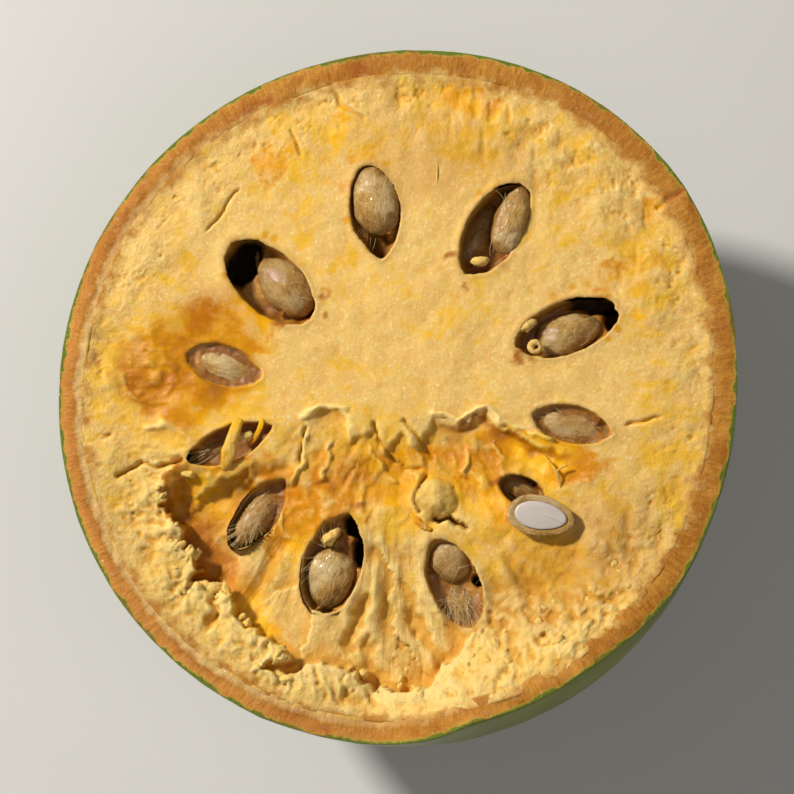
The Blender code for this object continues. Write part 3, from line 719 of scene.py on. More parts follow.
def soft_patches(patches, x, y):
    """The strongest of several soft oval patches at each place, with wavy edges."""
    wave_x = x + 1.6 * noise((x, y), 4.0, 51) + 0.6 * noise((x, y), 1.3, 52)
    wave_y = y + 1.6 * noise((x, y), 4.0, 53) + 0.6 * noise((x, y), 1.3, 54)
    total = np.zeros(x.shape)
    for *oval, strength in patches:
        distance = np.hypot(*oval_place(wave_x, wave_y, *oval))
        total = np.maximum(total, strength * falling(0.55, 1.15, distance))
    return total


def crumb_zone(x, y):
    """Where the pulp stands in crumbs: outside the hollow's ragged edge, and in the broken lower right."""
    edge_distance, _ = nearest_on_path(HOLLOW.edge, x, y)
    outside = ~inside_polygon(outline_of(HOLLOW), x, y)
    along_edge = falling(0.5, CRUMB_REACH, edge_distance) * outside
    lower_right = smooth_step(9.0, 14.0, x) * smooth_step(-23.0, -28.0, y)
    return np.maximum(along_edge, lower_right)


def face_form(x, y):
    """The main form of the open face, with its regions."""
    ragged_x, ragged_y = ragged(x, y)
    hollow = torn_depth(HOLLOW, ragged_x, ragged_y)
    sunken = SUNKEN_SHARE * torn_depth(SUNKEN_MIDDLE, ragged_x, ragged_y)
    mound_distance = np.hypot(x - MOUND_MIDDLE[0], y - MOUND_MIDDLE[1])
    mound_distance = mound_distance * (1.0 + 0.22 * noise((x, y), 3.2, 15) + 0.10 * noise((x, y), 1.1, 16))
    mound = MOUND_HEIGHT * (1.0 - smooth_step(0.0, MOUND_RADIUS, mound_distance) ** MOUND_FULLNESS)
    rise = rim_rise(x, y) / (1.0 + hollow)
    crumbs = crumb_zone(ragged_x, ragged_y)
    height = rise + mound - np.maximum(hollow, sunken)
    dome = falling(0.78 * MOUND_RADIUS, 0.98 * MOUND_RADIUS, mound_distance)
    gel = soft_patches(GEL_PATCHES, x, y)
    edge_distance, _ = nearest_on_path(HOLLOW.edge, ragged_x, ragged_y)
    # Painted shadow of the crest on the hollow's floor, painted as orange gel and as darker orange-brown
    crest_shadow = (hollow > 0.0) * smooth_step(-11.0, -20.0, x) * falling(2.0, 7.0, edge_distance)
    gel = np.maximum(gel, 0.85 * crest_shadow) * (1.0 - 0.85 * crumbs) * (1.0 - dome)
    layers = soft_patches(LAYER_PATCHES, x, y) * broken_share(x, y) * (1.0 - dome)
    folds = soft_patches(FOLD_PATCHES, x, y)
    folds = folds * (1.0 - 0.85 * crumbs)
    amber = crest_shadow * smooth_step(-27.0, -20.0, y) * (1.0 - crumbs)
    amber = np.maximum(amber, soft_patches(AMBER_AND_SHADE_PATCHES, x, y))
    return Face(height, hollow / HOLLOW_DEPTH, crumbs, broken_share(x, y), gel, layers, folds, dome, amber)


def crumb_relief(x, y, sizes):
    """Soft ridges square to the torn edge over broad swells, with a few pits, like torn flesh."""
    across, up = x - CREST_MIDDLE[0], y - CREST_MIDDLE[1]
    turn, reach = np.arctan2(-across, -up), np.hypot(across, up)
    turn = turn + 0.06 * noise((x, y), 2.6, 61) + 0.025 * noise((x, y), 0.9, 63)
    ridges = 1.0 - 2.4 * np.abs(fractal((reach / 60.0, turn), 0.095, 62, 3, 0.7))
    ridges = ridges * (0.45 + 0.55 * smooth_step(-0.3, 0.3, noise((x, y), 3.0, 65)))
    lumpy = lumps(x + 0.4 * noise((x, y), 0.9, 63), y, 2.6, 64)
    rough = fractal((x, y), 1.0, 66, 4, 0.65)
    pits = np.clip(fractal((x, y), 1.7, 67, 3) - 0.2, 0.0, 1.0)
    swell = fractal((x, y), 4.5, 68, 2)
    fine = 0.52 * ridges + 0.16 * lumpy + 0.22 * rough
    return sizes.crumb_height / MM * (0.5 * swell + fine - 1.0 * pits - 0.3)


def fan(x, y):
    """Places as the azimuth round the fan's middle and the distance from it."""
    across, down = x - FAN_MIDDLE[0], FAN_MIDDLE[1] - y
    return np.arctan2(across, down), np.hypot(across, down)


def ledges(value, steps):
    """A value turned into flat steps with short steep edges, like torn layers."""
    scaled = value * steps
    whole = np.floor(scaled)
    return (whole + smooth_step(0.66, 1.0, scaled - whole)) / steps


def torn_relief(x, y, face, sizes):
    """Layers and rounded folds that fan out in the torn places, with fibres over them."""
    azimuth, distance = fan(x, y)
    bent = azimuth + 0.05 * noise((x, y), 3.0, 70)
    straight = azimuth + 0.022 * noise((x, y), 5.0, 75)
    layered = ledges(0.5 + 0.5 * fractal((bent, distance / 45.0), 0.15, 71, 3), 5)
    folds = np.abs(fractal((straight, distance / 150.0), 0.15, 74, 3, 0.5)) ** 0.9 * 1.9
    fibres = fractal((straight, distance / 120.0), 0.045, 72, 2, 0.6)
    fibred = np.clip(0.15 * face.hollow + 0.3 * face.layers + face.folds, 0.0, 1.0)
    lower = smooth_step(-16.0, -30.0, y)
    height = 1.3 * face.layers * (layered - 0.55)
    height = height + (0.8 + 0.6 * lower) * face.folds * (np.minimum(folds, 1.0) - 0.6)
    return height + sizes.fibre_height / MM * fibred * fibres - valley_depth(x, y)


def deepest_groove(grooves, x, y, wave, seed):
    """Depth of the deepest of several grooves, each deepest along its wavy middle line."""
    wave_x, wave_y = waved(x, y, wave, 1.0, seed)
    total = np.zeros(x.shape)
    for width, depth, path in grooves:
        distance, _ = nearest_on_path(path, wave_x, wave_y)
        total = np.maximum(total, depth * falling(0.0, width, distance))
    return total


def crack_depth(x, y):
    return deepest_groove(CRACKS, x, y, 0.22, 81)


def valley_depth(x, y):
    return deepest_groove(VALLEYS, x, y, 0.5, 83)


def welt_height(x, y):
    return 0.8 * deepest_groove(WELTS, x, y, 0.45, 85) * (0.8 + 0.8 * noise((x, y), 1.8, 87))


def fine_relief(x, y, face, sizes):
    """Grain, pits, crumbs, fibres and cracks over the main form."""
    radius = np.hypot(x, y)
    margin = smooth_step(30.0, 39.0, radius)
    right = smooth_step(-4.0, 14.0, x) * smooth_step(4.0, 16.0, y)
    smooth = np.clip(face.gel + 0.8 * face.hollow, 0.0, 1.0)
    grain = fractal((x, y), 1.9, 21, 4, 0.65)
    rough = 0.6 + 0.9 * margin + 0.8 * face.broken + 0.4 * right
    relief = sizes.grain_height / MM * rough * grain * (1.0 - 0.7 * smooth)
    pits = fractal((x, 0.36 * y), 1.1, 23, 3)
    relief = relief - 0.5 * right * (0.35 + margin) * np.clip(-pits - 0.2, 0.0, 1.0)
    edge_pits = fractal((x, y), 1.3, 24, 4, 0.7)
    relief = relief - 0.8 * margin * np.clip(-edge_pits - 0.22, 0.0, 1.0)
    swells = fractal((x, y), 6.5, 27, 3, 0.6)
    relief = relief + (0.30 + 0.40 * margin + 0.25 * face.broken) * swells
    relief = relief + torn_relief(x, y, face, sizes)
    relief = relief + face.crumbs * crumb_relief(x, y, sizes)
    lower_right = smooth_step(10.0, 18.0, x) * smooth_step(-12.0, -20.0, y)
    relief = relief + 0.5 * lower_right * fractal((x, y), 2.8, 30, 3, 0.65)
    clumped = face.crumbs * smooth_step(2.0, 12.0, x)
    relief = relief + 0.55 * clumped * (lumps(x + 0.5 * noise((x, y), 1.2, 32), y, 1.35, 33) - 0.5)
    relief = relief + 0.5 * face.dome * fractal((x, y), 1.2, 31, 4, 0.7)
    return relief + welt_height(x, y) - crack_depth(x, y)


def open_face(x, y, sizes):
    """Height of the finished face over the cut plane, and its regions. Its edge falls under the wood."""
    face = face_form(x, y)
    height = face.height + fine_relief(x, y, face, sizes)
    azimuth = np.arctan2(y, x)
    from_wood = ball_radius(azimuth, CUT_HEIGHT, SHELL_THICKNESS) - np.hypot(x, y)
    wavy = 0.24 * noise((x, y), 0.9, 28) + 0.22 * noise((x, y), 2.6, 29)
    calm = 0.75 * falling(-0.2, 2.0, from_wood)
    height = height * (1.0 - calm) + face.height * calm
    inner_drop = falling(-PULP_OVERLAP, -0.70 * PULP_OVERLAP, from_wood + wavy)
    end_drop = falling(-PULP_OVERLAP, -0.75 * PULP_OVERLAP, from_wood)
    level = EDGE_RISE * falling(-0.2, 1.0, from_wood)
    height = height + level - EDGE_DROP * np.maximum(inner_drop, end_drop)
    return np.minimum(height, HIGHEST_RELIEF), face


def locule_middle(locule):
    azimuth = math.radians(locule.azimuth)
    return locule.distance * math.cos(azimuth), locule.distance * math.sin(azimuth)


def locule_rim(locule, index):
    """The rim as a table of radii over the azimuth round its middle, with unit half length and half width."""
    turn = np.linspace(0.0, 2.0 * np.pi, 241)
    along, across = np.cos(turn), np.sin(turn)
    pointed = np.where(along > 0, locule.outer, locule.inner)
    width = np.sign(across) * np.clip(1.0 - along**2, 0.0, 1.0) ** pointed
    azimuth = np.unwrap(np.arctan2(width, along))
    radius = np.hypot(along, width)
    wobble = fractal((3.0 * np.cos(azimuth), 3.0 * np.sin(azimuth)), 1.1, 90 + index, 5, 0.6)
    return azimuth, radius * (1.0 + 0.085 * wobble)


def locule_share(locule, index, x, y):
    """How far each place is from a locule's middle, as a share of the way to its rim."""
    half_sizes = (locule.length / 2, locule.width / 2)
    along, across = oval_place(x, y, *locule_middle(locule), *half_sizes, locule.azimuth + locule.slant)
    rim_azimuth, rim_radius = locule_rim(locule, index)
    azimuth = np.mod(np.arctan2(across, along), 2.0 * np.pi)
    return np.hypot(along, across) / np.interp(azimuth, rim_azimuth, rim_radius)


def hollow_locule(locule, index, places, masks, cell):
    """Bends the net down into one locule, which follows an ovoid whose widest part lies under the cut."""
    x, y, z = places
    share = locule_share(locule, index, x, y)
    middle_x, middle_y = locule_middle(locule)
    snap = 0.45 * cell / (locule.width / 2)
    at_rim = np.abs(share - 1.0) < snap
    pull = np.where(at_rim, 1.0 / np.maximum(share, 0.1), 1.0)
    x[:] = middle_x + (x - middle_x) * pull
    y[:] = middle_y + (y - middle_y) * pull
    inside = (share < 1.0) & ~at_rim
    widest = math.pi - math.acos(LOCULE_MIDDLE_BELOW_CUT / LOCULE_HALF_DEPTH)
    turn = widest * (1.0 - (1.0 - share[inside]) ** 1.25)
    spread = np.sin(turn) / math.sin(widest) / share[inside]
    x[inside] = middle_x + (x[inside] - middle_x) * spread
    y[inside] = middle_y + (y[inside] - middle_y) * spread
    wall = fractal((x[inside], y[inside]), 1.6, 101 + index, 3)
    depth = LOCULE_MIDDLE_BELOW_CUT + LOCULE_HALF_DEPTH * np.cos(turn)
    z[inside] = z[inside] * falling(0.0, 2.0, depth) - depth
    z[inside] = z[inside] + 0.25 * wall * smooth_step(0.3, 1.5, depth)
    masks["wall"][inside] = smooth_step(0.05, 0.7, depth)
    # Painted shade: the finish turns the pulp nearly black this deep in a locule
    masks["deep"][inside] = smooth_step(1.2, 3.5, depth)
    rim_glow = falling(0.0, 0.12, np.abs(share - 1.06)) * (share > 1.0)
    masks["wall"] = np.maximum(masks["wall"], 0.22 * rim_glow)
    near = (share > 1.0) & (share < 1.3)
    z[near] = z[near] + 0.12 * falling(0.0, 0.3, share[near] - 1.0)


def rim_stains(x, y):
    """Red spots of the wood, and the brown streak where it meets the pulp at the upper left."""
    wave_x, wave_y = waved(x, y, 0.8, 1.1, 113)
    distance, _ = nearest_on_path(RIM_STREAK, wave_x, wave_y)
    uneven = smooth_step(-0.5, 0.35, fractal((x, y), 1.8, 118, 3))
    total = 0.55 * falling(0.2, 1.7, distance) * uneven
    for middle_x, middle_y, radius in RIM_SPOTS:
        distance = np.hypot(wave_x - middle_x, wave_y - middle_y)
        total = np.maximum(total, 0.6 * falling(0.1 * radius, 1.3 * radius, distance))
    return total


def stain_share(x, y):
    """Red-brown stains: round spots, and below the flap its torn red-brown underside with painted shade."""
    wave_x, wave_y = waved(x, y, 0.7, 0.9, 111)
    total = np.zeros(x.shape)
    for middle_x, middle_y, radius in RED_STAINS:
        distance = np.hypot(wave_x - middle_x, wave_y - middle_y)
        total = np.maximum(total, falling(0.3 * radius, 1.5 * radius, distance))
    total = total * smooth_step(-0.35, 0.15, fractal((x, y), 0.8, 119, 2))
    distance, along = nearest_on_path(SUNKEN_MIDDLE.edge, wave_x, wave_y)
    under_flap = inside_polygon(outline_of(SUNKEN_MIDDLE), wave_x, wave_y)
    stretch = smooth_step(8.0, 9.5, along) * falling(13.8, 15.0, along)
    # Below the flap's edge: the torn underside's own red-brown and painted shade under the flap
    lip = under_flap * stretch * smooth_step(0.0, 0.2, distance) * falling(0.8, 1.7, distance)
    return np.maximum(np.maximum(total, 0.85 * lip), rim_stains(x, y))


def fan_places(x, y):
    """Places stretched along the fan of the torn pulp, so that a texture in them looks like its fibres."""
    azimuth, distance = fan(x, y)
    return np.stack([55.0 * np.sin(azimuth), 55.0 * np.cos(azimuth), distance / 5.0], 1)


def fan_streaks(x, y):
    """Fine colour streaks that run outwards from the middle of the fruit, from 0 to 1."""
    azimuth = np.arctan2(y, x) + 0.03 * noise((x, y), 4.0, 115)
    ring = np.hypot(x, y)
    coarse = fractal((12.0 * np.cos(azimuth), 12.0 * np.sin(azimuth), ring / 9.0), 1.0, 116, 4, 0.7)
    return 0.5 + 0.5 * np.clip(1.5 * coarse, -1.0, 1.0)


def wood_reach(x, y):
    """Distance inwards from the skin at the cut, in mm."""
    azimuth = np.arctan2(y, x)
    return ball_radius(azimuth, CUT_HEIGHT) - np.hypot(x, y)


def ray_places(x, y):
    """Places stretched along the rays from the middle, for the fine streaks of the clean cut."""
    azimuth = np.arctan2(y, x)
    return np.stack([24.0 * np.cos(azimuth), 24.0 * np.sin(azimuth), np.hypot(x, y) / 3.0], 1)


def sinking(height, passes):
    """How far each place of a square net lies under the mean of its surroundings, in mm."""
    side = NET_CELLS + 1
    level = height.reshape(side, side)
    mean = level
    for _ in range(passes):
        padded = np.pad(mean, 1, mode="edge")
        around = padded[:-2, 1:-1] + padded[2:, 1:-1] + padded[1:-1, :-2] + padded[1:-1, 2:]
        mean = (around + 2.0 * mean) / 6.0
    return (mean - level).ravel()


def rough_share(x, y, face):
    """How rough the surface is: the clean cut is smoothest, crumbs and the margin roughest."""
    margin = smooth_step(28.0, 38.0, np.hypot(x, y))
    rough = 0.45 + 0.35 * margin + 0.35 * face.broken + 0.4 * face.crumbs
    return np.clip(rough * (1.0 - 0.55 * face.gel), 0.0, 1.0)


def oil_dots(x, y):
    """Golden dots: a few at fixed places beside the locules, and smaller ones strewn over the cut."""
    distance, share = nearest_cell(x, y, 3.4, 121)
    size = 0.07 + 0.10 * share
    strewn = 0.35 * falling(0.6 * size, size, distance) * (share > 0.55)
    for middle_x, middle_y in GOLD_DOTS:
        distance = np.hypot(x - middle_x, y - middle_y) + 0.15 * noise((x, y), 0.6, 124)
        strewn = np.maximum(strewn, falling(0.35, 0.62, distance))
    return strewn


def disc_net(cells):
    """A square net of places drawn to a round outline, as flat arrays over a unit disc."""
    line = np.linspace(-1.0, 1.0, cells + 1)
    across, up = np.meshgrid(line, line)
    x = across * np.sqrt(1.0 - up**2 / 2.0)
    y = up * np.sqrt(1.0 - across**2 / 2.0)
    return x.ravel(), y.ravel()


def net_faces(rows, columns, closed=False):
    """Four-sided faces over rows and columns of points, closed round if the last column meets the first."""
    index = np.arange(rows * columns).reshape(rows, columns)
    low, high = index[:-1], index[1:]
    if closed:
        corners = (low, np.roll(low, -1, 1), np.roll(high, -1, 1), high)
    else:
        corners = (low[:, :-1], low[:, 1:], high[:, 1:], high[:, :-1])
    return np.stack([corner.ravel() for corner in corners], 1)


def closed_faces(rows, columns, turned_over=False):
    """Faces of a closed body of rows of points, with a flat end over its first and over its last row."""
    faces = [list(face) for face in net_faces(rows, columns, closed=True)]
    last = (rows - 1) * columns
    faces.append(list(range(columns))[::-1])
    faces.append(list(range(last, last + columns)))
    return [face[::-1] for face in faces] if turned_over else faces


def mesh_object(name, places, faces, materials, shares=None, face_material=None):
    """A smooth mesh object from places in mm, with a float layer on its points for each named share."""
    mesh = bpy.data.meshes.new(name)
    points = np.asarray(places, float) * MM
    mesh.from_pydata(points.tolist(), [], [list(map(int, face)) for face in faces])
    for layer, values in (shares or {}).items():
        values = np.asarray(values, np.float32)
        kind = "FLOAT_VECTOR" if values.ndim == 2 else "FLOAT"
        field = "vector" if values.ndim == 2 else "value"
        mesh.attributes.new(layer, kind, "POINT").data.foreach_set(field, values.ravel())
    for material in materials:
        mesh.materials.append(material)
    if face_material is not None:
        mesh.polygons.foreach_set("material_index", np.asarray(face_material, np.int32))
    mesh.shade_smooth()
    mesh.update()
    made = bpy.data.objects.new(name, mesh)
    bpy.context.scene.collection.objects.link(made)
    return made


def declare(piece, slot, *nodes):
    """The piece rides on the fruit's one body and stands for its nodes, which are hidden. The slot is not
    used.
    """
    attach(piece, "root")
    if nodes:
        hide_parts(*nodes)
    return piece


class Shader:
    """A material's node tree, with short calls for the nodes that these finishes use."""

    def __init__(self, name):
        self.material = bpy.data.materials.new(name)
        self.material.use_nodes = True
        self.tree = self.material.node_tree
        self.surface = self.tree.nodes["Principled BSDF"]
        self.object_place = self.tree.nodes.new("ShaderNodeTexCoord").outputs["Object"]

    def put(self, kind, inputs=None, **settings):
        node = self.tree.nodes.new(kind)
        for key, value in settings.items():
            setattr(node, key, value)
        for key, value in (inputs or {}).items():
            self.feed(node.inputs[key], value)
        return node

    def feed(self, socket, value):
        if isinstance(value, bpy.types.NodeSocket):
            self.tree.links.new(value, socket)
        elif hasattr(value, "__len__") and len(value) == 3 and len(socket.default_value) == 4:
            socket.default_value = (*value, 1.0)
        else:
            socket.default_value = value

    def set(self, **values):
        for key, value in values.items():
            self.feed(self.surface.inputs[key.replace("_", " ")], value)

    def share(self, layer):
        return self.put("ShaderNodeAttribute", attribute_name=layer).outputs["Fac"]

    def vector(self, layer):
        return self.put("ShaderNodeAttribute", attribute_name=layer).outputs["Vector"]

    def noise(self, scale, detail=4.0, place=None, roughness=0.55):
        place = place or self.object_place
        inputs = {"Vector": place, "Scale": scale, "Detail": detail, "Roughness": roughness}
        return self.put("ShaderNodeTexNoise", inputs).outputs["Fac"]

    def cells(self, scale):
        made = self.put("ShaderNodeTexVoronoi", {"Vector": self.object_place, "Scale": scale})
        return made.outputs["Distance"]

    def spread(self, value, low, high, to_low=0.0, to_high=1.0):
        """A value stretched from one range to another, and kept in it."""
        made = self.put("ShaderNodeMapRange", {0: value, 1: low, 2: high, 3: to_low, 4: to_high})
        return made.outputs[0]

    def plus(self, first, second):
        return self.put("ShaderNodeMath", {0: first, 1: second}, operation="ADD").outputs[0]

    def times(self, first, second):
        return self.put("ShaderNodeMath", {0: first, 1: second}, operation="MULTIPLY").outputs[0]

    def nudged(self, value, by, low, high, to_low, to_high):
        """A value with another one, stretched to a range of its own, added to it."""
        return self.plus(value, self.spread(by, low, high, to_low, to_high))

    def blend(self, share, first, second):
        made = self.put("ShaderNodeMix", data_type="RGBA")
        for socket, value in zip((made.inputs[0], made.inputs[6], made.inputs[7]), (share, first, second)):
            self.feed(socket, value)
        return made.outputs[2]

    def bump(self, height, depth, strength=1.0, under=None):
        made = self.put("ShaderNodeBump", {"Height": height, "Distance": depth, "Strength": strength})
        if under:
            self.feed(made.inputs["Normal"], under)
        return made.outputs["Normal"]


def pulp_finish(name, colours, clearness):
    """Cream, moist flesh, golden and clear in patches, with dry pale crumbs and brown locule walls, and
    painted light and shade.
    """
    made = Shader(name)
    broad = made.noise(110.0, 4.0)
    mottle = made.noise(420.0, 6.0, roughness=0.6)
    grain = made.noise(2300.0, 4.0, roughness=0.7)
    threads = made.noise(1.0, 6.0, made.vector("fan"), roughness=0.62)
    rays = made.noise(1.0, 6.0, made.vector("rays"), roughness=0.65)
    soft_rays = made.spread(rays, 0.0, 1.0, 0.3, 0.7)
    tone = made.spread(made.plus(mottle, soft_rays), 0.85, 1.15)
    cream = made.blend(tone, Shade.cream_dark, scaled(colours.cream, 1.05))
    cream = made.blend(made.spread(grain, 0.44, 0.33, 0.0, 0.35), cream, Shade.grain_dark)
    cream = made.blend(made.spread(grain, 0.55, 0.66, 0.0, 0.65), cream, Shade.grain_light)
    threaded = made.times(made.spread(threads, 0.52, 0.36), made.share("fibrous"))
    cream = made.blend(made.times(threaded, 0.4), cream, Shade.thread)
    warm = made.nudged(made.share("yellow"), broad, 0.35, 0.65, -0.35, 0.35)
    warm = made.nudged(warm, mottle, 0.38, 0.62, -0.4, 0.4)
    warm = made.nudged(warm, rays, 0.38, 0.62, -0.3, 0.3)
    warm = made.nudged(warm, made.share("streaks"), 0.0, 1.0, -0.25, 0.25)
    warmed = made.blend(made.spread(warm, 0.2, 1.0, 0.0, 0.92), cream, colours.yellow)
    paled = made.blend(made.times(made.share("crumbs"), 0.7), warmed, colours.pale)
    # Painted highlight on raised places and painted shade in dips
    raised = made.blend(made.spread(made.share("relief_shading"), -0.05, -0.55, 0.0, 0.60), paled, Shade.ridge_highlight)
    sunk = made.blend(made.spread(made.share("relief_shading"), 0.03, 0.5, 0.0, 0.80), raised, Shade.dip_shade)
    patch = made.nudged(made.share("gel"), mottle, 0.38, 0.62, -0.3, 0.3)
    clear = made.spread(patch, 0.25, 0.70)
    gel = made.blend(made.spread(broad, 0.42, 0.58), Shade.gel_deep, colours.gel)
    juicy = made.blend(made.times(clear, 0.95), sunk, gel)
    # Painted highlight on raised gel
    proud = made.times(made.spread(made.share("relief_shading"), -0.15, -0.7, 0.0, 0.75), clear)
    juicy = made.blend(proud, juicy, Shade.gel_ridge_highlight)
    # Darker orange-brown: painted shadow below the crest, and the pulp's own darker tone in patches
    amber = made.times(made.share("amber"), made.spread(mottle, 0.38, 0.62, 0.6, 1.0))
    juicy = made.blend(amber, juicy, Shade.amber)
    specked = made.blend(made.spread(mottle, 0.40, 0.60), Shade.mound_dark, Shade.mound_light)
    domed = made.blend(made.times(made.share("dome"), 0.65), juicy, specked)
    dotted = made.blend(made.times(made.share("dots"), 0.95), domed, Shade.oil)
    # Red-brown stains, and painted shade under the flap
    stained_and_shaded = made.blend(made.times(made.share("stain_and_shade"), 0.95), dotted, colours.stain_and_shade)
    wood_colour = tuple(0.5 * sum(parts) for parts in zip(colours.wood, colours.wood_pale))
    wooded = made.blend(wood_edge(made, mottle), wood_colour, stained_and_shaded)
    # Brown locule lining, and painted shade in deep cracks
    walled = made.blend(made.share("wall"), wooded, colours.wall)
    # Painted shade: nearly black deep in the locules
    made.set(Base_Color=made.blend(made.share("deep"), walled, Shade.locule_shade))
    made.set(Roughness=made.spread(made.plus(clear, made.share("wall")), 0.0, 1.0, 0.55, 0.26))
    made.set(Subsurface_Weight=0.4, Subsurface_Scale=clearness * MM, Subsurface_Radius=(1.0, 0.45, 0.12))
    made.set(Specular_IOR_Level=0.22)
    wet_specks = made.spread(made.noise(1500.0, 3.0), 0.55, 0.60, 0.0, 1.0)
    made.set(Coat_Weight=made.times(wet_specks, made.spread(clear, 0.0, 1.0, 0.6, 1.0)))
    made.set(Coat_Roughness=0.12, Coat_Normal=made.bump(made.noise(1500.0, 4.0), 0.9 * MM, 1.0))
    threads_relief = made.bump(threads, 0.5 * MM, made.times(made.share("fibrous"), 0.9))
    grit = made.noise(1250.0, 8.0, roughness=0.72)
    relief = made.bump(grit, 0.36 * MM, made.share("rough"), threads_relief)
    made.set(Normal=made.bump(made.cells(1900.0), 0.05 * MM, 0.4, relief))
    return made.material


def wood_edge(made, mottle):
    """How far a place has turned from wood to pulp, with a ragged border that both finishes share."""
    inward = made.nudged(made.share("inward"), mottle, 0.35, 0.65, -1.0, 1.0)
    return made.spread(inward, 2.8, 4.4)


def wood_finish(colours):
    """Wood of the shell on the cut: green edge, orange-tan wood with fine rays, layers on the left."""
    made = Shader("shell_wood_cut")
    rays = made.noise(2.4, 6.0, made.vector("streak"), roughness=0.7)
    broad = made.noise(0.55, 3.0, made.vector("streak"))
    cloud = made.noise(230.0, 6.0)
    mottle = made.noise(420.0, 6.0, roughness=0.6)
    across = made.nudged(made.share("across"), broad, 0.3, 0.7, -0.06, 0.06)
    across = made.nudged(across, mottle, 0.3, 0.7, -0.08, 0.08)
    left = made.share("left")
    tone = made.plus(made.spread(rays, 0.38, 0.62, 0.0, 0.6), made.spread(cloud, 0.38, 0.62, -0.2, 0.45))
    wood = made.blend(tone, colours.wood, colours.wood_pale)
    outer_pale = made.times(made.spread(across, 0.36, 0.22), left)
    wood = made.blend(made.times(outer_pale, 0.75), wood, colours.wood_pale)
    pink = made.times(made.spread(across, 0.50, 0.40), left)
    wood = made.blend(made.times(pink, 0.35), wood, Shade.wood_pink)
    inner_pale = made.times(made.spread(across, 0.50, 0.66), left)
    wood = made.blend(made.times(inner_pale, 0.8), wood, Shade.wood_layer)
    gold = made.times(made.spread(across, 0.74, 0.86), left)
    wood = made.blend(made.times(gold, 0.8), wood, colours.yellow)
    line = made.spread(across, 0.20, 0.13)
    wood = made.blend(made.times(line, 0.6), wood, Shade.under_skin)
    greened = made.blend(made.spread(across, 0.13, 0.085), wood, scaled(colours.skin, 1.2))
    # Red-brown spots of the wood, and painted shade in its cracks
    stained_and_shaded = made.blend(made.share("stain_and_shade"), greened, Shade.wood_stain_and_shade)
    reddish = made.spread(made.noise(75.0, 4.0), 0.52, 0.68, 0.0, 0.4)
    mottled = made.blend(reddish, stained_and_shaded, Shade.wood_red)
    specks = made.spread(made.noise(2600.0, 4.0), 0.60, 0.70, 0.0, 0.3)
    specked = made.blend(specks, mottled, Shade.wood_speck)
    meeting = made.times(wood_edge(made, mottle), 0.85)
    made.set(Base_Color=made.blend(meeting, specked, scaled(colours.cream, 0.94)))
    made.set(Roughness=made.spread(rays, 0.35, 0.65, 0.36, 0.6))
    made.set(Specular_IOR_Level=0.15)
    made.set(Subsurface_Weight=0.25, Subsurface_Scale=0.5 * MM, Subsurface_Radius=(1.0, 0.4, 0.15))
    glints = made.spread(made.noise(1500.0, 3.0), 0.58, 0.63, 0.0, 0.8)
    made.set(Coat_Weight=glints, Coat_Roughness=0.12)
    made.set(Coat_Normal=made.bump(made.noise(1700.0, 4.0), 0.3 * MM))
    relief = made.bump(rays, 0.22 * MM, 0.9)
    made.set(Normal=made.bump(made.noise(1300.0, 8.0, roughness=0.7), 0.28 * MM, 0.8, relief))
    return made.material


def skin_finish(colours):
    """Hard green skin with yellow-green mottling, pale pores and a dull gloss."""
    made = Shader("shell_skin")
    mottle = made.noise(55.0, 6.0, roughness=0.6)
    pores = made.cells(620.0)
    base = made.blend(made.spread(mottle, 0.35, 0.72), colours.skin, colours.skin_spot)
    pale = made.spread(pores, 0.16, 0.08, 0.0, 0.5)
    specked = made.blend(pale, base, scaled(colours.skin_spot, 1.25))
    scuffs = made.spread(made.noise(160.0, 7.0, roughness=0.7), 0.60, 0.72, 0.0, 0.55)
    scuffed = made.blend(scuffs, specked, Shade.scuff)
    scarred = made.blend(made.share("scar"), scuffed, Shade.scar)
    made.set(Base_Color=scarred)
    made.set(Roughness=made.spread(mottle, 0.3, 0.7, 0.30, 0.48))
    made.set(Specular_IOR_Level=0.5)
    relief = made.bump(pores, 0.10 * MM, 0.5)
    made.set(Normal=made.bump(made.noise(420.0, 6.0, roughness=0.65), 0.22 * MM, 0.8, relief))
    return made.material


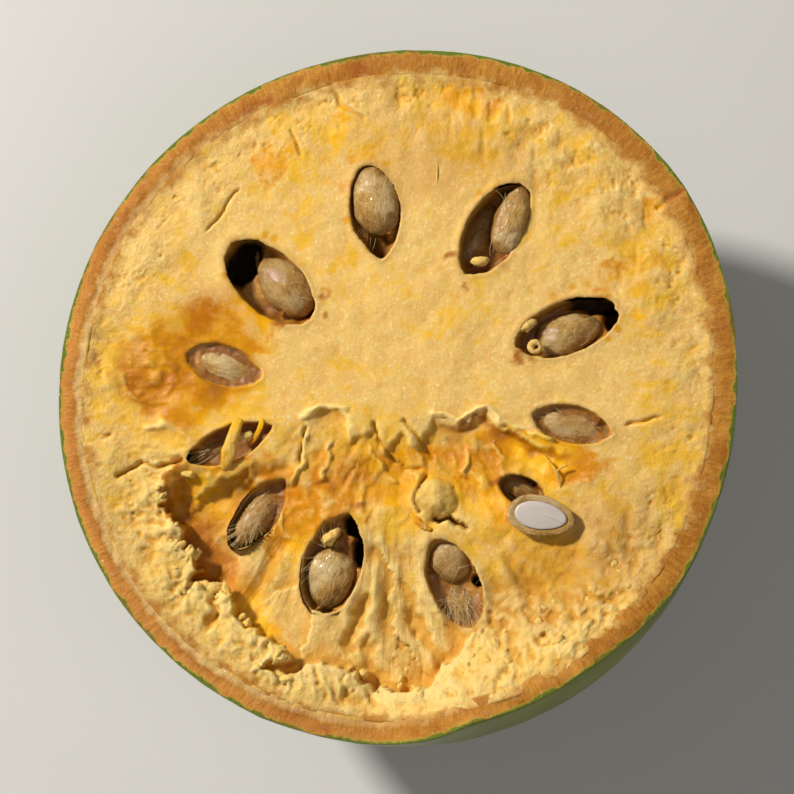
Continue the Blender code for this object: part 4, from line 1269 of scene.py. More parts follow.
def seed_finish(name, colours, paleness):
    """A seed in clear gum and fine wool: pale and grainy on top, brown and glossy on its sides, partly
    painted shade.
    """
    made = Shader(name)
    grain = made.noise(3200.0, 4.0, roughness=0.7)
    patches = made.noise(330.0, 4.0)
    wool = made.noise(3.4, 8.0, made.vector("drawn"), roughness=0.75)
    # Paler where the surface faces up, browner on its sides: partly the drier top and wet coat, partly
    # painted shade
    top = made.nudged(made.share("upward"), patches, 0.35, 0.65, -0.35, 0.35)
    top = made.nudged(top, wool, 0.35, 0.65, -0.2, 0.2)
    pale = made.spread(top, 0.05, 0.95, 0.0, 0.25 + 0.75 * paleness)
    coat = made.blend(made.spread(wool, 0.40, 0.60), scaled(colours.coat, 0.6), colours.coat)
    woolly = made.blend(made.spread(wool, 0.38, 0.62), scaled(colours.wool, 0.72), colours.wool)
    light = made.spread(patches, 0.47, 0.60, 0.0, 0.75 * paleness)
    woolly = made.blend(light, woolly, Shade.dry_gum)
    mixed = made.blend(pale, coat, woolly)
    fibred = made.blend(made.spread(wool, 0.60, 0.68, 0.0, 0.3 * (0.4 + paleness)), mixed, Shade.seed_fibre)
    grained = made.blend(made.spread(grain, 0.57, 0.68, 0.0, 0.35), fibred, Shade.seed_grain)
    made.set(Base_Color=made.blend(made.spread(grain, 0.42, 0.32, 0.0, 0.35), grained, Shade.seed_pore))
    made.set(Roughness=made.spread(wool, 0.35, 0.65, 0.35, 0.6))
    made.set(Specular_IOR_Level=0.3)
    made.set(Subsurface_Weight=0.35, Subsurface_Scale=0.35 * MM, Subsurface_Radius=(1.0, 0.5, 0.18))
    made.set(Coat_Weight=made.spread(patches, 0.42, 0.54, 0.6, 1.0), Coat_Roughness=0.05, Coat_IOR=1.5)
    swells = made.bump(made.noise(520.0, 3.0), 0.55 * MM, 1.0)
    made.set(Coat_Normal=made.bump(made.noise(1700.0, 4.0), 0.16 * MM, 1.0, swells))
    fibres = made.bump(wool, 0.30 * MM, 0.9)
    made.set(Normal=made.bump(grain, 0.16 * MM, 0.8, fibres))
    return made.material


def gum_finish(colours):
    """Brown gum full of matted fibres, wet on top, with painted shade that turns its holes nearly black."""
    made = Shader("fibrous_gum")
    strands = made.noise(1500.0, 7.0, roughness=0.7)
    patches = made.noise(300.0, 4.0)
    dark = made.blend(made.spread(strands, 0.3, 0.7), scaled(colours.gum, 0.55), colours.gum)
    tan = made.spread(patches, 0.45, 0.68, 0.0, 0.75)
    mixed = made.blend(tan, dark, Shade.gum_tan)
    edged = made.blend(made.share("rim"), mixed, Shade.gum_rim)
    # Painted shade: the holes in the gum turn nearly black
    made.set(Base_Color=made.blend(made.share("deep"), edged, Shade.gum_hole_shade))
    made.set(Roughness=made.spread(strands, 0.3, 0.7, 0.22, 0.5))
    made.set(Subsurface_Weight=0.35, Subsurface_Scale=1.0 * MM, Subsurface_Radius=(1.0, 0.45, 0.12))
    made.set(Coat_Weight=made.spread(made.share("deep"), 0.0, 0.6, 0.8, 0.0), Coat_Roughness=0.09)
    made.set(Coat_Normal=made.bump(made.noise(1100.0, 5.0), 0.7 * MM, 1.0))
    made.set(Specular_IOR_Level=made.spread(made.share("deep"), 0.0, 0.6, 0.25, 0.05))
    made.set(Normal=made.bump(strands, 0.10 * MM, 0.8))
    return made.material


def wool_finish(colours):
    """Loose pale fibres, a little clear."""
    made = Shader("loose_wool")
    tone = made.noise(500.0, 3.0)
    made.set(Base_Color=made.blend(made.spread(tone, 0.3, 0.7), colours.wool, Shade.wool_light))
    made.set(Roughness=0.3, Subsurface_Weight=0.4, Subsurface_Scale=0.2 * MM)
    made.set(Normal=made.bump(made.noise(3000.0, 2.0), 0.02 * MM, 0.5))
    return made.material


def kernel_finish(colours):
    """Smooth white kernel with a faint seam."""
    made = Shader("white_kernel")
    cloud = made.noise(700.0, 5.0)
    base = made.blend(made.spread(cloud, 0.3, 0.7), scaled(colours.kernel, 0.9), colours.kernel)
    made.set(Base_Color=made.blend(made.share("seam"), base, scaled(colours.kernel, 0.55)))
    made.set(Roughness=made.spread(cloud, 0.3, 0.7, 0.32, 0.45))
    made.set(Subsurface_Weight=0.5, Subsurface_Scale=0.7 * MM, Subsurface_Radius=(1.0, 0.8, 0.7))
    made.set(Normal=made.bump(made.noise(1600.0, 4.0), 0.03 * MM, 0.5))
    return made.material


def catmull_rom(points, steps):
    """A smooth curve through points, with a number of steps between each two."""
    points = np.asarray(points, float)
    ends = np.vstack([2 * points[0] - points[1], points, 2 * points[-1] - points[-2]])
    share = np.linspace(0.0, 1.0, steps, endpoint=False)[:, None]
    runs = []
    for before, start, end, after in zip(ends, ends[1:], ends[2:], ends[3:]):
        runs.append(
            start
            + 0.5 * share * (end - before)
            + share**2 * (before - 2.5 * start + 2.0 * end - 0.5 * after)
            + share**3 * (1.5 * (start - end) + 0.5 * (after - before))
        )
    return np.vstack([*runs, points[-1:]])


def tube(path, widths, heights, sides):
    """Points and faces of a closed tube along a path, flattened by its half widths and half heights."""
    path = np.asarray(path, float)
    forward = np.gradient(path, axis=0)
    forward /= np.linalg.norm(forward, axis=1)[:, None]
    side = np.cross(forward, (0.0, 0.0, 1.0))
    side /= np.maximum(np.linalg.norm(side, axis=1), 1e-6)[:, None]
    up = np.cross(side, forward)
    turn = np.linspace(0.0, 2.0 * np.pi, sides, endpoint=False)
    ring = (
        side[:, None] * (np.asarray(widths)[:, None] * np.cos(turn))[..., None]
        + up[:, None] * (np.asarray(heights)[:, None] * np.sin(turn))[..., None]
    )
    return (path[:, None] + ring).reshape(-1, 3), closed_faces(len(path), sides)


class Bundle:
    """Several closed bodies gathered for one mesh."""

    def __init__(self):
        self.points, self.faces, self.count = [], [], 0

    def add(self, points, faces):
        self.points.append(points)
        self.faces.extend([[index + self.count for index in face] for face in faces])
        self.count += len(points)

    def places(self):
        return np.vstack(self.points)


def left_share(azimuth):
    """How far an azimuth lies on the left side, where the wood shows layers."""
    return smooth_step(-0.1, 0.9, -np.cos(azimuth - math.radians(20.0)))


def shell_profile(azimuth):
    """Rows of places from the stalk scar up the outside, over the cut wood, and down the inside."""
    rows, layers = [], []
    rim = CUT_HEIGHT * np.ones(azimuth.shape)
    for _ in range(3):
        radius = ball_radius(azimuth, rim)
        rim = CUT_HEIGHT + face_form(radius * np.cos(azimuth), radius * np.sin(azimuth)).height
    chips = fractal((30.0 * np.cos(azimuth), 30.0 * np.sin(azimuth)), 2.2, 131, 4)
    rim = np.minimum(rim + 0.16 * chips, CUT_HEIGHT + HIGHEST_RELIEF)
    flat_radius = ball_radius(azimuth, np.zeros(azimuth.shape))
    for share in (0.0, 0.5, 0.85, 1.0):
        radius = np.maximum(share * SCAR_RADIUS, 0.02)
        lip = SCAR_DEPTH if share < 0.9 else 0.0
        rows.append((radius * np.ones(azimuth.shape), lip * np.ones(azimuth.shape)))
        layers.append(("skin", 1.0, 0.0))
    for share in (0.4, 0.8):
        rows.append((SCAR_RADIUS + share * (flat_radius - SCAR_RADIUS), np.zeros(azimuth.shape)))
        layers.append(("skin", 0.6 - 0.6 * share, 0.0))
    for step in range(SKIN_ROWS):
        share = step / (SKIN_ROWS - 1)
        turn = math.asin(-EQUATOR_HEIGHT / DEPTH_BELOW_EQUATOR) * (1.0 - share)
        below = EQUATOR_HEIGHT + DEPTH_BELOW_EQUATOR * math.sin(turn)
        height = below + (rim - EQUATOR_HEIGHT) * smooth_step(0.72, 1.0, share)
        rows.append((ball_radius(azimuth, height), height))
        layers.append(("skin", 0.0, 0.0))
    outer = ball_radius(azimuth, rim)
    for step in range(1, WOOD_ROWS + 1):
        across = step / WOOD_ROWS
        radius = outer - across * (SHELL_THICKNESS + WOOD_EXTRA)
        x, y = radius * np.cos(azimuth), radius * np.sin(azimuth)
        height = CUT_HEIGHT + face_form(x, y).height
        grain = fractal((x, y), 1.1, 133, 4)
        bead = 0.12 * math.sin(math.pi * across) + 0.09 * grain * smooth_step(0.0, 0.15, across)
        layered = smooth_step(0.45, 0.6, across) * falling(0.85, 0.95, across)
        layered = layered * left_share(azimuth)
        crinkles = 0.35 * layered * fractal((x, y), 1.4, 134, 4, 0.7)
        bead = bead + crinkles - WOOD_DIP * smooth_step(0.82, 1.0, across) - 0.5 * crack_depth(x, y)
        lean = smooth_step(0.25, 0.0, across)
        level = np.minimum(height + bead, CUT_HEIGHT + HIGHEST_RELIEF)
        rows.append((radius, level * (1.0 - lean) + rim * lean))
        layers.append(("cut", 0.0, across))
    for share in (0.15, 0.4, 0.7, 0.9):
        height = CUT_HEIGHT * (1.0 - share) + SHELL_THICKNESS * share + 0.0 * azimuth
        rows.append((ball_radius(azimuth, height, SHELL_THICKNESS), height))
        layers.append(("inside", 0.0, 1.0))
    rows.append((0.02 * np.ones(azimuth.shape), SHELL_THICKNESS * np.ones(azimuth.shape)))
    layers.append(("inside", 0.0, 1.0))
    return rows, layers


def build_shell(sizes, colours):
    """The woody shell: uneven green skin outside and bare wood on the cut."""
    azimuth = np.linspace(0.0, 2.0 * np.pi, SHELL_COLUMNS, endpoint=False)
    rows, layers = shell_profile(azimuth)
    places, across, left, scar, streak, stain_and_shade = [], [], [], [], [], []
    for (radius, height), (layer, scarred, share) in zip(rows, layers):
        x, y = radius * np.cos(azimuth), radius * np.sin(azimuth)
        if layer == "skin":
            swell = fractal((x, y, height), 9.0, 141, 3) + 0.35 * fractal((x, y, height), 1.8, 142, 3)
            push = -sizes.skin_unevenness / MM * (0.5 + 0.5 * swell) * smooth_step(0.5, 5.0, height)
            x, y = x + push * np.cos(azimuth), y + push * np.sin(azimuth)
        places.append(np.stack([x, y, height], 1))
        across.append(np.full(azimuth.shape, share))
        left.append(left_share(azimuth))
        # The wood's red spots and streak, and painted shade in its cracks, darker the deeper they are
        stain_and_shade.append(np.maximum(rim_stains(x, y), crack_depth(x, y)) * (layer == "cut"))
        scar.append(np.full(azimuth.shape, scarred))
        round_rim = (40.0 * np.cos(azimuth), 40.0 * np.sin(azimuth))
        streak.append(np.stack([*round_rim, 0.9 * share + 0.0 * azimuth], 1))
    faces = net_faces(len(rows), SHELL_COLUMNS, closed=True)
    kinds = [layers[row + 1][0] for row in range(len(rows) - 1)]
    face_material = np.repeat([0 if kind == "skin" else 1 for kind in kinds], SHELL_COLUMNS)
    shares = {
        "across": np.concatenate(across),
        "left": np.concatenate(left),
        "scar": np.concatenate(scar),
        "stain_and_shade": np.concatenate(stain_and_shade),
        "inward": (SHELL_THICKNESS + WOOD_EXTRA) * np.concatenate(across),
        "streak": np.vstack(streak),
    }
    finishes = [skin_finish(colours), wood_finish(colours)]
    piece = mesh_object("woody_shell", np.vstack(places), faces, finishes, shares, face_material)
    declare(piece, "woody_shell", "shell")


def build_pulp(sizes, colours):
    """The pulp's open face with its locules, closed below by a plain bowl."""
    unit_x, unit_y = disc_net(NET_CELLS)
    azimuth = np.arctan2(unit_y, unit_x)
    reach = ball_radius(azimuth, CUT_HEIGHT, SHELL_THICKNESS) + PULP_OVERLAP
    x, y = unit_x * reach, unit_y * reach
    cell = 2.0 * reach.mean() / NET_CELLS
    z, face = open_face(x, y, sizes)
    masks = {
        "gel": face.gel,
        "yellow": soft_patches(YELLOW_PATCHES, x, y),
        "crumbs": np.maximum(face.crumbs, 0.5 * np.clip(face.hollow, 0.0, 1.0)),
        "stain_and_shade": stain_share(x, y),
        "dots": oil_dots(x, y) * (1.0 - face.broken) * (1.0 - face.gel),
        # The lining's brown goes into cracks the deeper they are: painted shade in the cracks
        "wall": smooth_step(0.5, 1.6, crack_depth(x, y)),
        "deep": np.zeros(x.shape),
        "streaks": fan_streaks(x, y),
        "fan": fan_places(x, y),
        "fibrous": np.clip(0.25 * face.hollow + 0.2 * face.layers + 0.8 * face.folds, 0.0, 1.0),
        "dome": face.dome,
        "amber": face.amber,
        "inward": wood_reach(x, y),
        "rays": ray_places(x, y),
        # Painted light and shade from the relief: below zero where a place stands over its surroundings,
        # above where it sinks
        "relief_shading": np.clip(1.4 * sinking(z, 60) + 2.4 * sinking(z, 6), -1.0, 1.0),
        "rough": rough_share(x, y, face),
    }
    places = [x, y, z]
    for index, locule in enumerate(LOCULES):
        hollow_locule(locule, index, places, masks, cell)
    top = np.stack([x, y, CUT_HEIGHT + z], 1)
    side = NET_CELLS + 1
    index = np.arange(side * side).reshape(side, side)
    loop = np.concatenate([index[0, :-1], index[:-1, -1], index[-1, :0:-1], index[:0:-1, 0]])
    rim = top[loop]
    rings = []
    base_height = SHELL_THICKNESS + BOWL_GAP
    for share in BOWL_RINGS:
        turn = share * math.pi / 2
        ring = rim.copy()
        ring[:, :2] = rim[:, :2] * math.cos(turn) * BOWL_SHRINK
        ring[:, 2] = CUT_HEIGHT - BOWL_TOP_DROP - (CUT_HEIGHT - BOWL_TOP_DROP - base_height) * math.sin(turn)
        rings.append(ring)
    base = np.array([[0.0, 0.0, base_height]])
    points = np.vstack([top, *rings, base])
    faces = [list(face_row) for face_row in net_faces(side, side)]
    count = len(loop)
    upper = loop
    for ring_number in range(len(rings)):
        lower = len(top) + ring_number * count + np.arange(count)
        faces.extend(np.stack([np.roll(upper, -1), upper, lower, np.roll(lower, -1)], 1).tolist())
        upper = lower
    faces.extend(np.stack([np.roll(upper, -1), upper, np.full(count, len(points) - 1)], 1).tolist())
    padding = ((0, len(points) - len(top)), (0, 0))
    shares = {key: np.pad(mask, padding[: mask.ndim]) for key, mask in masks.items()}
    finish = pulp_finish("pulp_flesh", colours, PULP_CLEARNESS)
    piece = mesh_object("pulp_flesh", points, faces, [finish], shares)
    declare(piece, "pulp", "pulp")


def seed_surface(seed):
    """Places of a seed's surface round its own middle, and the unit directions outwards there."""
    along = np.linspace(0.0, np.pi, SEED_ROWS)[:, None]
    turn = np.linspace(0.0, 2.0 * np.pi, SEED_COLUMNS, endpoint=False)[None, :]
    unit_x = np.cos(along) * np.ones(turn.shape)
    unit_y = np.sin(along) * np.cos(turn)
    unit_z = np.sin(along) * np.sin(turn)
    taper = 1.0 - SEED_TAPER * unit_x
    x = unit_x * (seed.length / 2)
    y = unit_y * taper * (seed.width / 2)
    z = unit_z * taper * (seed.thickness / 2)
    return [part.ravel() for part in (x, y, z, unit_x, unit_y, unit_z)]


def turned(x, y, azimuth):
    turn = math.radians(azimuth)
    return x * math.cos(turn) - y * math.sin(turn), x * math.sin(turn) + y * math.cos(turn)


def seed_places(seed, x, y, z):
    """Places round a seed's own middle, turned and moved to where the seed lies."""
    x, y = turned(x, y, seed.azimuth)
    middle = CUT_HEIGHT - seed.top_below_cut - seed.thickness / 2
    return np.stack([x + seed.x, y + seed.y, z + middle], 1)


def build_seed(name, seed, number, colours):
    """One seed, swollen and creased by the gum and wool on it."""
    x, y, z, unit_x, unit_y, unit_z = seed_surface(seed)
    fibre = fractal((0.35 * x, y, z), 0.5, 200 + number, 3)
    gum = fractal((x, y, z), 1.6, 230 + number, 2)
    crease = np.abs(fractal((x, y, z), 2.4, 260 + number, 3))
    push = 0.02 + 0.09 * fibre + 0.24 * gum - 0.14 * (0.5 - np.minimum(crease, 0.5)) ** 2
    x, y, z = x + push * unit_x, y + push * unit_y, z + push * unit_z
    drawn = np.stack([0.22 * x + 9.0 * number, y + 0.12 * x, z], 1)
    faces = net_faces(SEED_ROWS, SEED_COLUMNS, closed=True)[:, ::-1]
    # How far the surface faces up, which paints the sides browner, partly as painted shade
    shares = {"upward": unit_z, "drawn": drawn}
    finish = seed_finish(f"{name}_coat", colours, seed.paleness)
    piece = mesh_object(f"woolly_{name}", seed_places(seed, x, y, z), faces, [finish], shares)
    declare(piece, "seed_coat", name)


def add_bridges(bundle, locule, index, begin, end, count, generator, radius):
    """Fine fibres that reach from the middle of a locule to its wall, over a stretch of its rim."""
    rim_azimuth, rim_radius = locule_rim(locule, index)
    middle_x, middle_y = locule_middle(locule)
    for _ in range(count):
        turn = math.radians(generator.uniform(begin, end))
        reach = np.interp(turn % (2.0 * np.pi), rim_azimuth, rim_radius)
        share = np.linspace(generator.uniform(0.45, 0.7), 1.02, FIBRE_POINTS)
        bent = turn + generator.normal(0.0, 0.16) * np.sin(np.pi * (share - share[0]))
        along = share * reach * np.cos(bent) * locule.length / 2
        across = share * reach * np.sin(bent) * locule.width / 2
        x, y = turned(along, across, locule.azimuth + locule.slant)
        sag = generator.uniform(0.2, 0.9)
        bow = np.sin(np.pi * np.linspace(0.0, 1.0, FIBRE_POINTS))
        z = CUT_HEIGHT - 0.35 * locule.gum_depth - sag * bow
        thin = 0.8 * radius * np.ones(FIBRE_POINTS)
        bundle.add(*tube(np.stack([x + middle_x, y + middle_y, z], 1), thin, thin, 4))


def build_wool(sizes, colours):
    """Loose fibres that lie on the seeds and lift off them here and there."""
    generator = np.random.default_rng(11)
    bundle = Bundle()
    radius = sizes.wool_radius / MM
    for seed in SEEDS.values():
        for _ in range(seed.fibres):
            start = generator.uniform((-0.9, -0.9), (0.9, 0.9))
            heading = generator.uniform(0.0, 2.0 * np.pi)
            length = generator.uniform(1.5, 4.0)
            bend = generator.normal(0.0, 0.5)
            lift = generator.uniform(0.05, 0.45)
            share = np.linspace(0.0, 1.0, FIBRE_POINTS)
            direction = heading + bend * share * 2.0
            x = start[0] * seed.length / 2.6 + np.cumsum(np.cos(direction)) * length / FIBRE_POINTS
            y = start[1] * seed.width / 2.8 + np.cumsum(np.sin(direction)) * length / FIBRE_POINTS
            spread = (2.0 * x / seed.length) ** 2 + (2.0 * y / seed.width) ** 2
            z = seed.thickness / 2 * np.sqrt(np.clip(1.0 - spread, 0.0, 1.0)) + lift * np.sin(np.pi * share)
            z = np.maximum(z, 0.25 * seed.thickness / 2)
            path = seed_places(seed, x, y, z)
            path[:, 2] += 0.05
            thin = radius * np.ones(FIBRE_POINTS)
            bundle.add(*tube(path, thin, thin, 4))
    for index, begin, end, count in BRIDGES:
        add_bridges(bundle, LOCULES[index], index, begin, end, count, generator, radius)
    piece = mesh_object("loose_wool", bundle.places(), bundle.faces, [wool_finish(colours)])
    declare(piece, "seed_coat")


def build_cut_seed(colours):
    """The halved seed: woolly coat with a level, grainy top, and the white kernel let into it."""
    turn = np.linspace(0.0, 2.0 * np.pi, PAD_COLUMNS, endpoint=False)
    level = CUT_HEIGHT - CUT_SEED.top_below_cut - CUT_SEED.thickness / 2
    outer = (CUT_SEED.length / 2, CUT_SEED.width / 2)
    socket = (KERNEL_LENGTH / 2 + KERNEL_GAP, KERNEL_WIDTH / 2 + KERNEL_GAP)
    rows, upward = [], []

    def add_row(half_length, half_width, height, is_up):
        x, y = half_length * np.cos(turn), half_width * np.sin(turn)
        y = y * (1.0 - SEED_TAPER * np.cos(turn))
        grain = fractal((x, y, height + 0.0 * x), 0.6, 301, 4)
        x, y = x * (1.0 + 0.03 * grain), y * (1.0 + 0.04 * grain)
        x, y = turned(x, y, CUT_SEED.azimuth)
        rows.append(np.stack([x + CUT_SEED.x, y + CUT_SEED.y, level + height + 0.07 * grain], 1))
        upward.append(np.full(PAD_COLUMNS, is_up))

    # Rows face up, sideways or into the socket, which paints sides and socket browner, partly as painted
    # shade
    for share in np.linspace(0.02, 1.0, 16):
        bend = share * math.pi / 2
        add_row(outer[0] * math.sin(bend), outer[1] * math.sin(bend), -2.4 * math.cos(bend), -0.4)
    for share in np.linspace(0.06, 1.0, 9):
        half_sizes = [out + share * (inner - out) for out, inner in zip(outer, socket)]
        add_row(*half_sizes, 0.12 * math.sin(math.pi * share), 0.9)
    for share in (0.3, 0.7, 0.98):
        half_sizes = [half * (1.0 - 0.9 * share) for half in socket]
        add_row(*half_sizes, -1.5 * math.sqrt(share), -1.0)
    finish = seed_finish("cut_coat", colours, 0.95)
    shares = {"upward": np.concatenate(upward), "drawn": np.vstack(rows)}
    faces = closed_faces(len(rows), PAD_COLUMNS)
    piece = mesh_object("cut_seed_wool", np.vstack(rows), faces, [finish], shares)
    declare(piece, "seed_coat", "cut_seed_coat")
    build_kernel(colours, turn)


def build_kernel(colours, turn):
    """The kernel: a smooth, barely domed face over a rounded underside."""
    rows, seams = [], []

    def add_row(share, height, with_seam):
        x = share * KERNEL_LENGTH / 2 * np.cos(turn)
        y = share * KERNEL_WIDTH / 2 * np.sin(turn) * (1.0 - SEED_TAPER * np.cos(turn))
        seam = smooth_step(0.10, 0.02, np.abs(y + 0.25 * x - 0.2)) * (x > 0.4) * 0.5
        seams.append(seam * with_seam)
        rows.append(seed_places(CUT_SEED, x, y, height + 0.0 * x))

    for share in np.linspace(0.02, 1.0, 14):
        add_row(share, KERNEL_PROUD + 0.16 * (1.0 - share**3), True)
    for share in (0.25, 0.6, 0.95):
        bend = share * math.pi / 2
        add_row(math.cos(bend), KERNEL_PROUD - 1.25 * math.sin(bend), False)
    faces = closed_faces(len(rows), len(turn), turned_over=True)
    shares = {"seam": np.concatenate(seams)}
    piece = mesh_object("white_kernel", np.vstack(rows), faces, [kernel_finish(colours)], shares)
    declare(piece, "seed_kernel", "cut_seed_kernel")


def surface_height(x, y, sizes):
    """Height of the finished face at single places, over the plane that the fruit rests on."""
    x, y = np.atleast_1d(x).astype(float), np.atleast_1d(y).astype(float)
    return CUT_HEIGHT + open_face(x, y, sizes)[0]


def gum_depth(locule, x, y):
    """How far the gum's top lies under the cut: it climbs the wall at the rim and falls into its holes."""
    depth = locule.gum_depth * np.ones(x.shape)
    wave_x, wave_y = waved(x, y, 0.25, 0.8, 151)
    for *oval, hole_depth in GUM_HOLES:
        share = np.hypot(*oval_place(wave_x, wave_y, *oval))
        depth = depth + (hole_depth - locule.gum_depth) * falling(0.7, 1.1, share)
    return depth


def add_gum(bundle, locule, index, sizes):
    """One locule's gum as a closed pad: a matted top from wall to wall over a rounded underside."""
    middle_x, middle_y = locule_middle(locule)
    turn = np.linspace(0.0, 2.0 * np.pi, PAD_COLUMNS, endpoint=False)
    rim_azimuth, rim_radius = locule_rim(locule, index)
    unit = np.interp(turn, rim_azimuth, rim_radius)
    axis = math.radians(locule.azimuth + locule.slant)
    places, rim, deep = [], [], []

    def add_row(share, height_of):
        along = share * unit * np.cos(turn) * locule.length / 2
        across = share * unit * np.sin(turn) * locule.width / 2
        x = middle_x + along * math.cos(axis) - across * math.sin(axis)
        y = middle_y + along * math.sin(axis) + across * math.cos(axis)
        places.append(np.stack([x, y, CUT_HEIGHT + height_of(x, y)], 1))
        rim.append(np.full(PAD_COLUMNS, float(smooth_step(0.90, 1.0, share))))
        # How far into a hole a place lies, for the painted shade that darkens the hole
        deep.append(smooth_step(0.5, 2.0, gum_depth(locule, x, y) - locule.gum_depth))

    def top_height(share):
        def height_of(x, y):
            matted = 0.30 * fractal((x, y), 1.3, 160 + index, 4)
            climb = 0.55 * locule.gum_depth * smooth_step(0.72, 1.06, share) ** 2
            depth = gum_depth(locule, x, y)
            lip = np.clip(1.0 - (depth - locule.gum_depth) / 2.0, 0.0, 1.0)
            return open_face(x, y, sizes)[1].height + matted + climb * lip - depth

        return height_of

    for step in range(GUM_ROWS):
        share = 0.02 + 1.03 * step / (GUM_ROWS - 1)
        add_row(share, top_height(share))
    for share, drop in GUM_UNDERSIDE:
        add_row(share, lambda x, y, drop=drop: -drop + 0.0 * x)
    bundle.add(np.vstack(places), closed_faces(len(places), PAD_COLUMNS, turned_over=True))
    return np.concatenate(rim), np.concatenate(deep)


def build_gum(sizes, colours):
    """The brown, fibrous gum round the seeds."""
    bundle = Bundle()
    layers = [add_gum(bundle, locule, index, sizes) for index, locule in enumerate(LOCULES)]
    shares = {key: np.concatenate(parts) for key, parts in zip(("rim", "deep"), zip(*layers))}
    piece = mesh_object("fibrous_gum", bundle.places(), bundle.faces, [gum_finish(colours)], shares)
    declare(piece, "seed_coat")


def crumb_ball():
    """Places and faces of a fine ball of radius 1, made once and shared by all crumbs."""
    mesh = bmesh.new()
    bmesh.ops.create_icosphere(mesh, subdivisions=3, radius=1.0)
    points = np.array([vertex.co[:] for vertex in mesh.verts])
    faces = [[vertex.index for vertex in face.verts] for face in mesh.faces]
    mesh.free()
    return points, faces


def add_crumb(bundle, ball, generator, place, radius, heading, drawn=1.0):
    """One crumb: a ball drawn out along its heading and lumped by noise."""
    points, faces = ball
    seed = int(generator.integers(1000))
    offset = generator.uniform(-40.0, 40.0, 3)
    moved = points + offset
    lumpy = fractal(tuple(moved.T), 0.75, 400 + seed % 7, 4, 0.75)
    ridged = 1.0 - 2.0 * np.abs(noise(tuple(moved.T), 0.5, 410))
    size = radius * (1.0 + 0.75 * lumpy + 0.22 * ridged)
    length = drawn * generator.uniform(1.0, 1.6)
    stretch = np.array([length, generator.uniform(0.75, 1.0), generator.uniform(0.65, 0.95)])
    shaped = points * size[:, None] * stretch
    x, y = turned(shaped[:, 0], shaped[:, 1], heading + generator.normal(0.0, 25.0))
    bundle.add(np.stack([x, y, shaped[:, 2]], 1) + place, faces)


def path_places(path, count, generator):
    """Random places along a path, each with the direction that the path runs in there."""
    path = np.asarray(path)[:, :2]
    steps = np.linalg.norm(np.diff(path, axis=0), axis=1)
    reach = np.concatenate([[0.0], np.cumsum(steps)])
    for distance in np.sort(generator.uniform(0.0, reach[-1], count)):
        index = min(int(np.searchsorted(reach, distance, "right")) - 1, len(steps) - 1)
        forward = (path[index + 1] - path[index]) / steps[index]
        yield path[index] + forward * (distance - reach[index]), forward


def plain_masks(points):
    """The pulp finish's masks for a small loose piece: no more than its own streaks and roughness."""
    count = len(points)
    named = ("stain_and_shade", "dots", "wall", "gel", "deep", "dome", "fibrous", "relief_shading", "crumbs", "yellow", "amber")
    shares = {key: np.zeros(count) for key in named}
    shares["streaks"] = np.full(count, 0.5)
    shares["rough"] = np.full(count, 0.8)
    shares["inward"] = np.full(count, 20.0)
    shares["fan"] = points
    shares["rays"] = points
    return shares


def build_crumbs(sizes, colours):
    """Crumbs of torn pulp: a ragged crest along the hollow, and smaller ones strewn beside it."""
    generator = np.random.default_rng(5)
    ball = crumb_ball()
    bundle = Bundle()
    for count, low, high, reach, lift, drawn in CREST_CRUMBS:
        for middle, forward in path_places(HOLLOW.edge[:CREST_EDGE_POINTS], count, generator):
            outward = np.array([forward[1], -forward[0]])
            outward = outward if np.dot(outward, middle) > 0 else -outward
            place = middle + outward * generator.uniform(-0.6, reach)
            radius = generator.uniform(low, high)
            ground = surface_height(*place, sizes)[0]
            level = max(ground, CUT_HEIGHT - 0.9) + lift * radius
            heading = math.degrees(math.atan2(outward[1], outward[0]))
            add_crumb(bundle, ball, generator, np.array([*place, level]), radius, heading, drawn)
    for _ in range(STREWN_COUNT):
        azimuth = math.radians(generator.uniform(*STREWN_AZIMUTHS))
        distance = generator.uniform(*STREWN_DISTANCES)
        place = (distance * math.cos(azimuth), distance * math.sin(azimuth))
        radius = generator.uniform(*STREWN_RADII)
        level = surface_height(*place, sizes)[0] - 0.4 * radius
        add_crumb(bundle, ball, generator, np.array([*place, level]), radius, math.degrees(azimuth))
    for x, y, radius, lift, heading in LOOSE_LUMPS:
        level = surface_height(x, y, sizes)[0] + lift
        add_crumb(bundle, ball, generator, np.array([x, y, level]), radius, heading)
    points = bundle.places()
    shares = plain_masks(points)
    shares["crumbs"] = np.ones(len(points))
    shares["yellow"] = np.full(len(points), 0.35)
    finish = pulp_finish("crumb_flesh", colours, CRUMB_CLEARNESS)
    piece = mesh_object("torn_crumbs", points, bundle.faces, [finish], shares)
    declare(piece, "pulp")


def add_ribbon(bundle, path, half_width, half_thickness, seed):
    """One flat, rippled strand along a smooth path, thinner at its ends. Gives its point count."""
    path = catmull_rom(path, 8)
    share = np.linspace(0.0, 1.0, len(path))
    swell = np.sin(np.pi * np.clip(share, 0.04, 0.96)) ** 0.35
    widths = half_width * swell * (1.0 + 0.16 * noise((8.0 * share, 0.0 * share), 1.0, seed))
    points, faces = tube(path, widths, half_thickness * swell, 16)
    points[:, 2] += 0.35 * half_thickness * fractal(tuple(points.T), 0.6, seed + 1, 3)
    bundle.add(points, faces)
    return len(points)


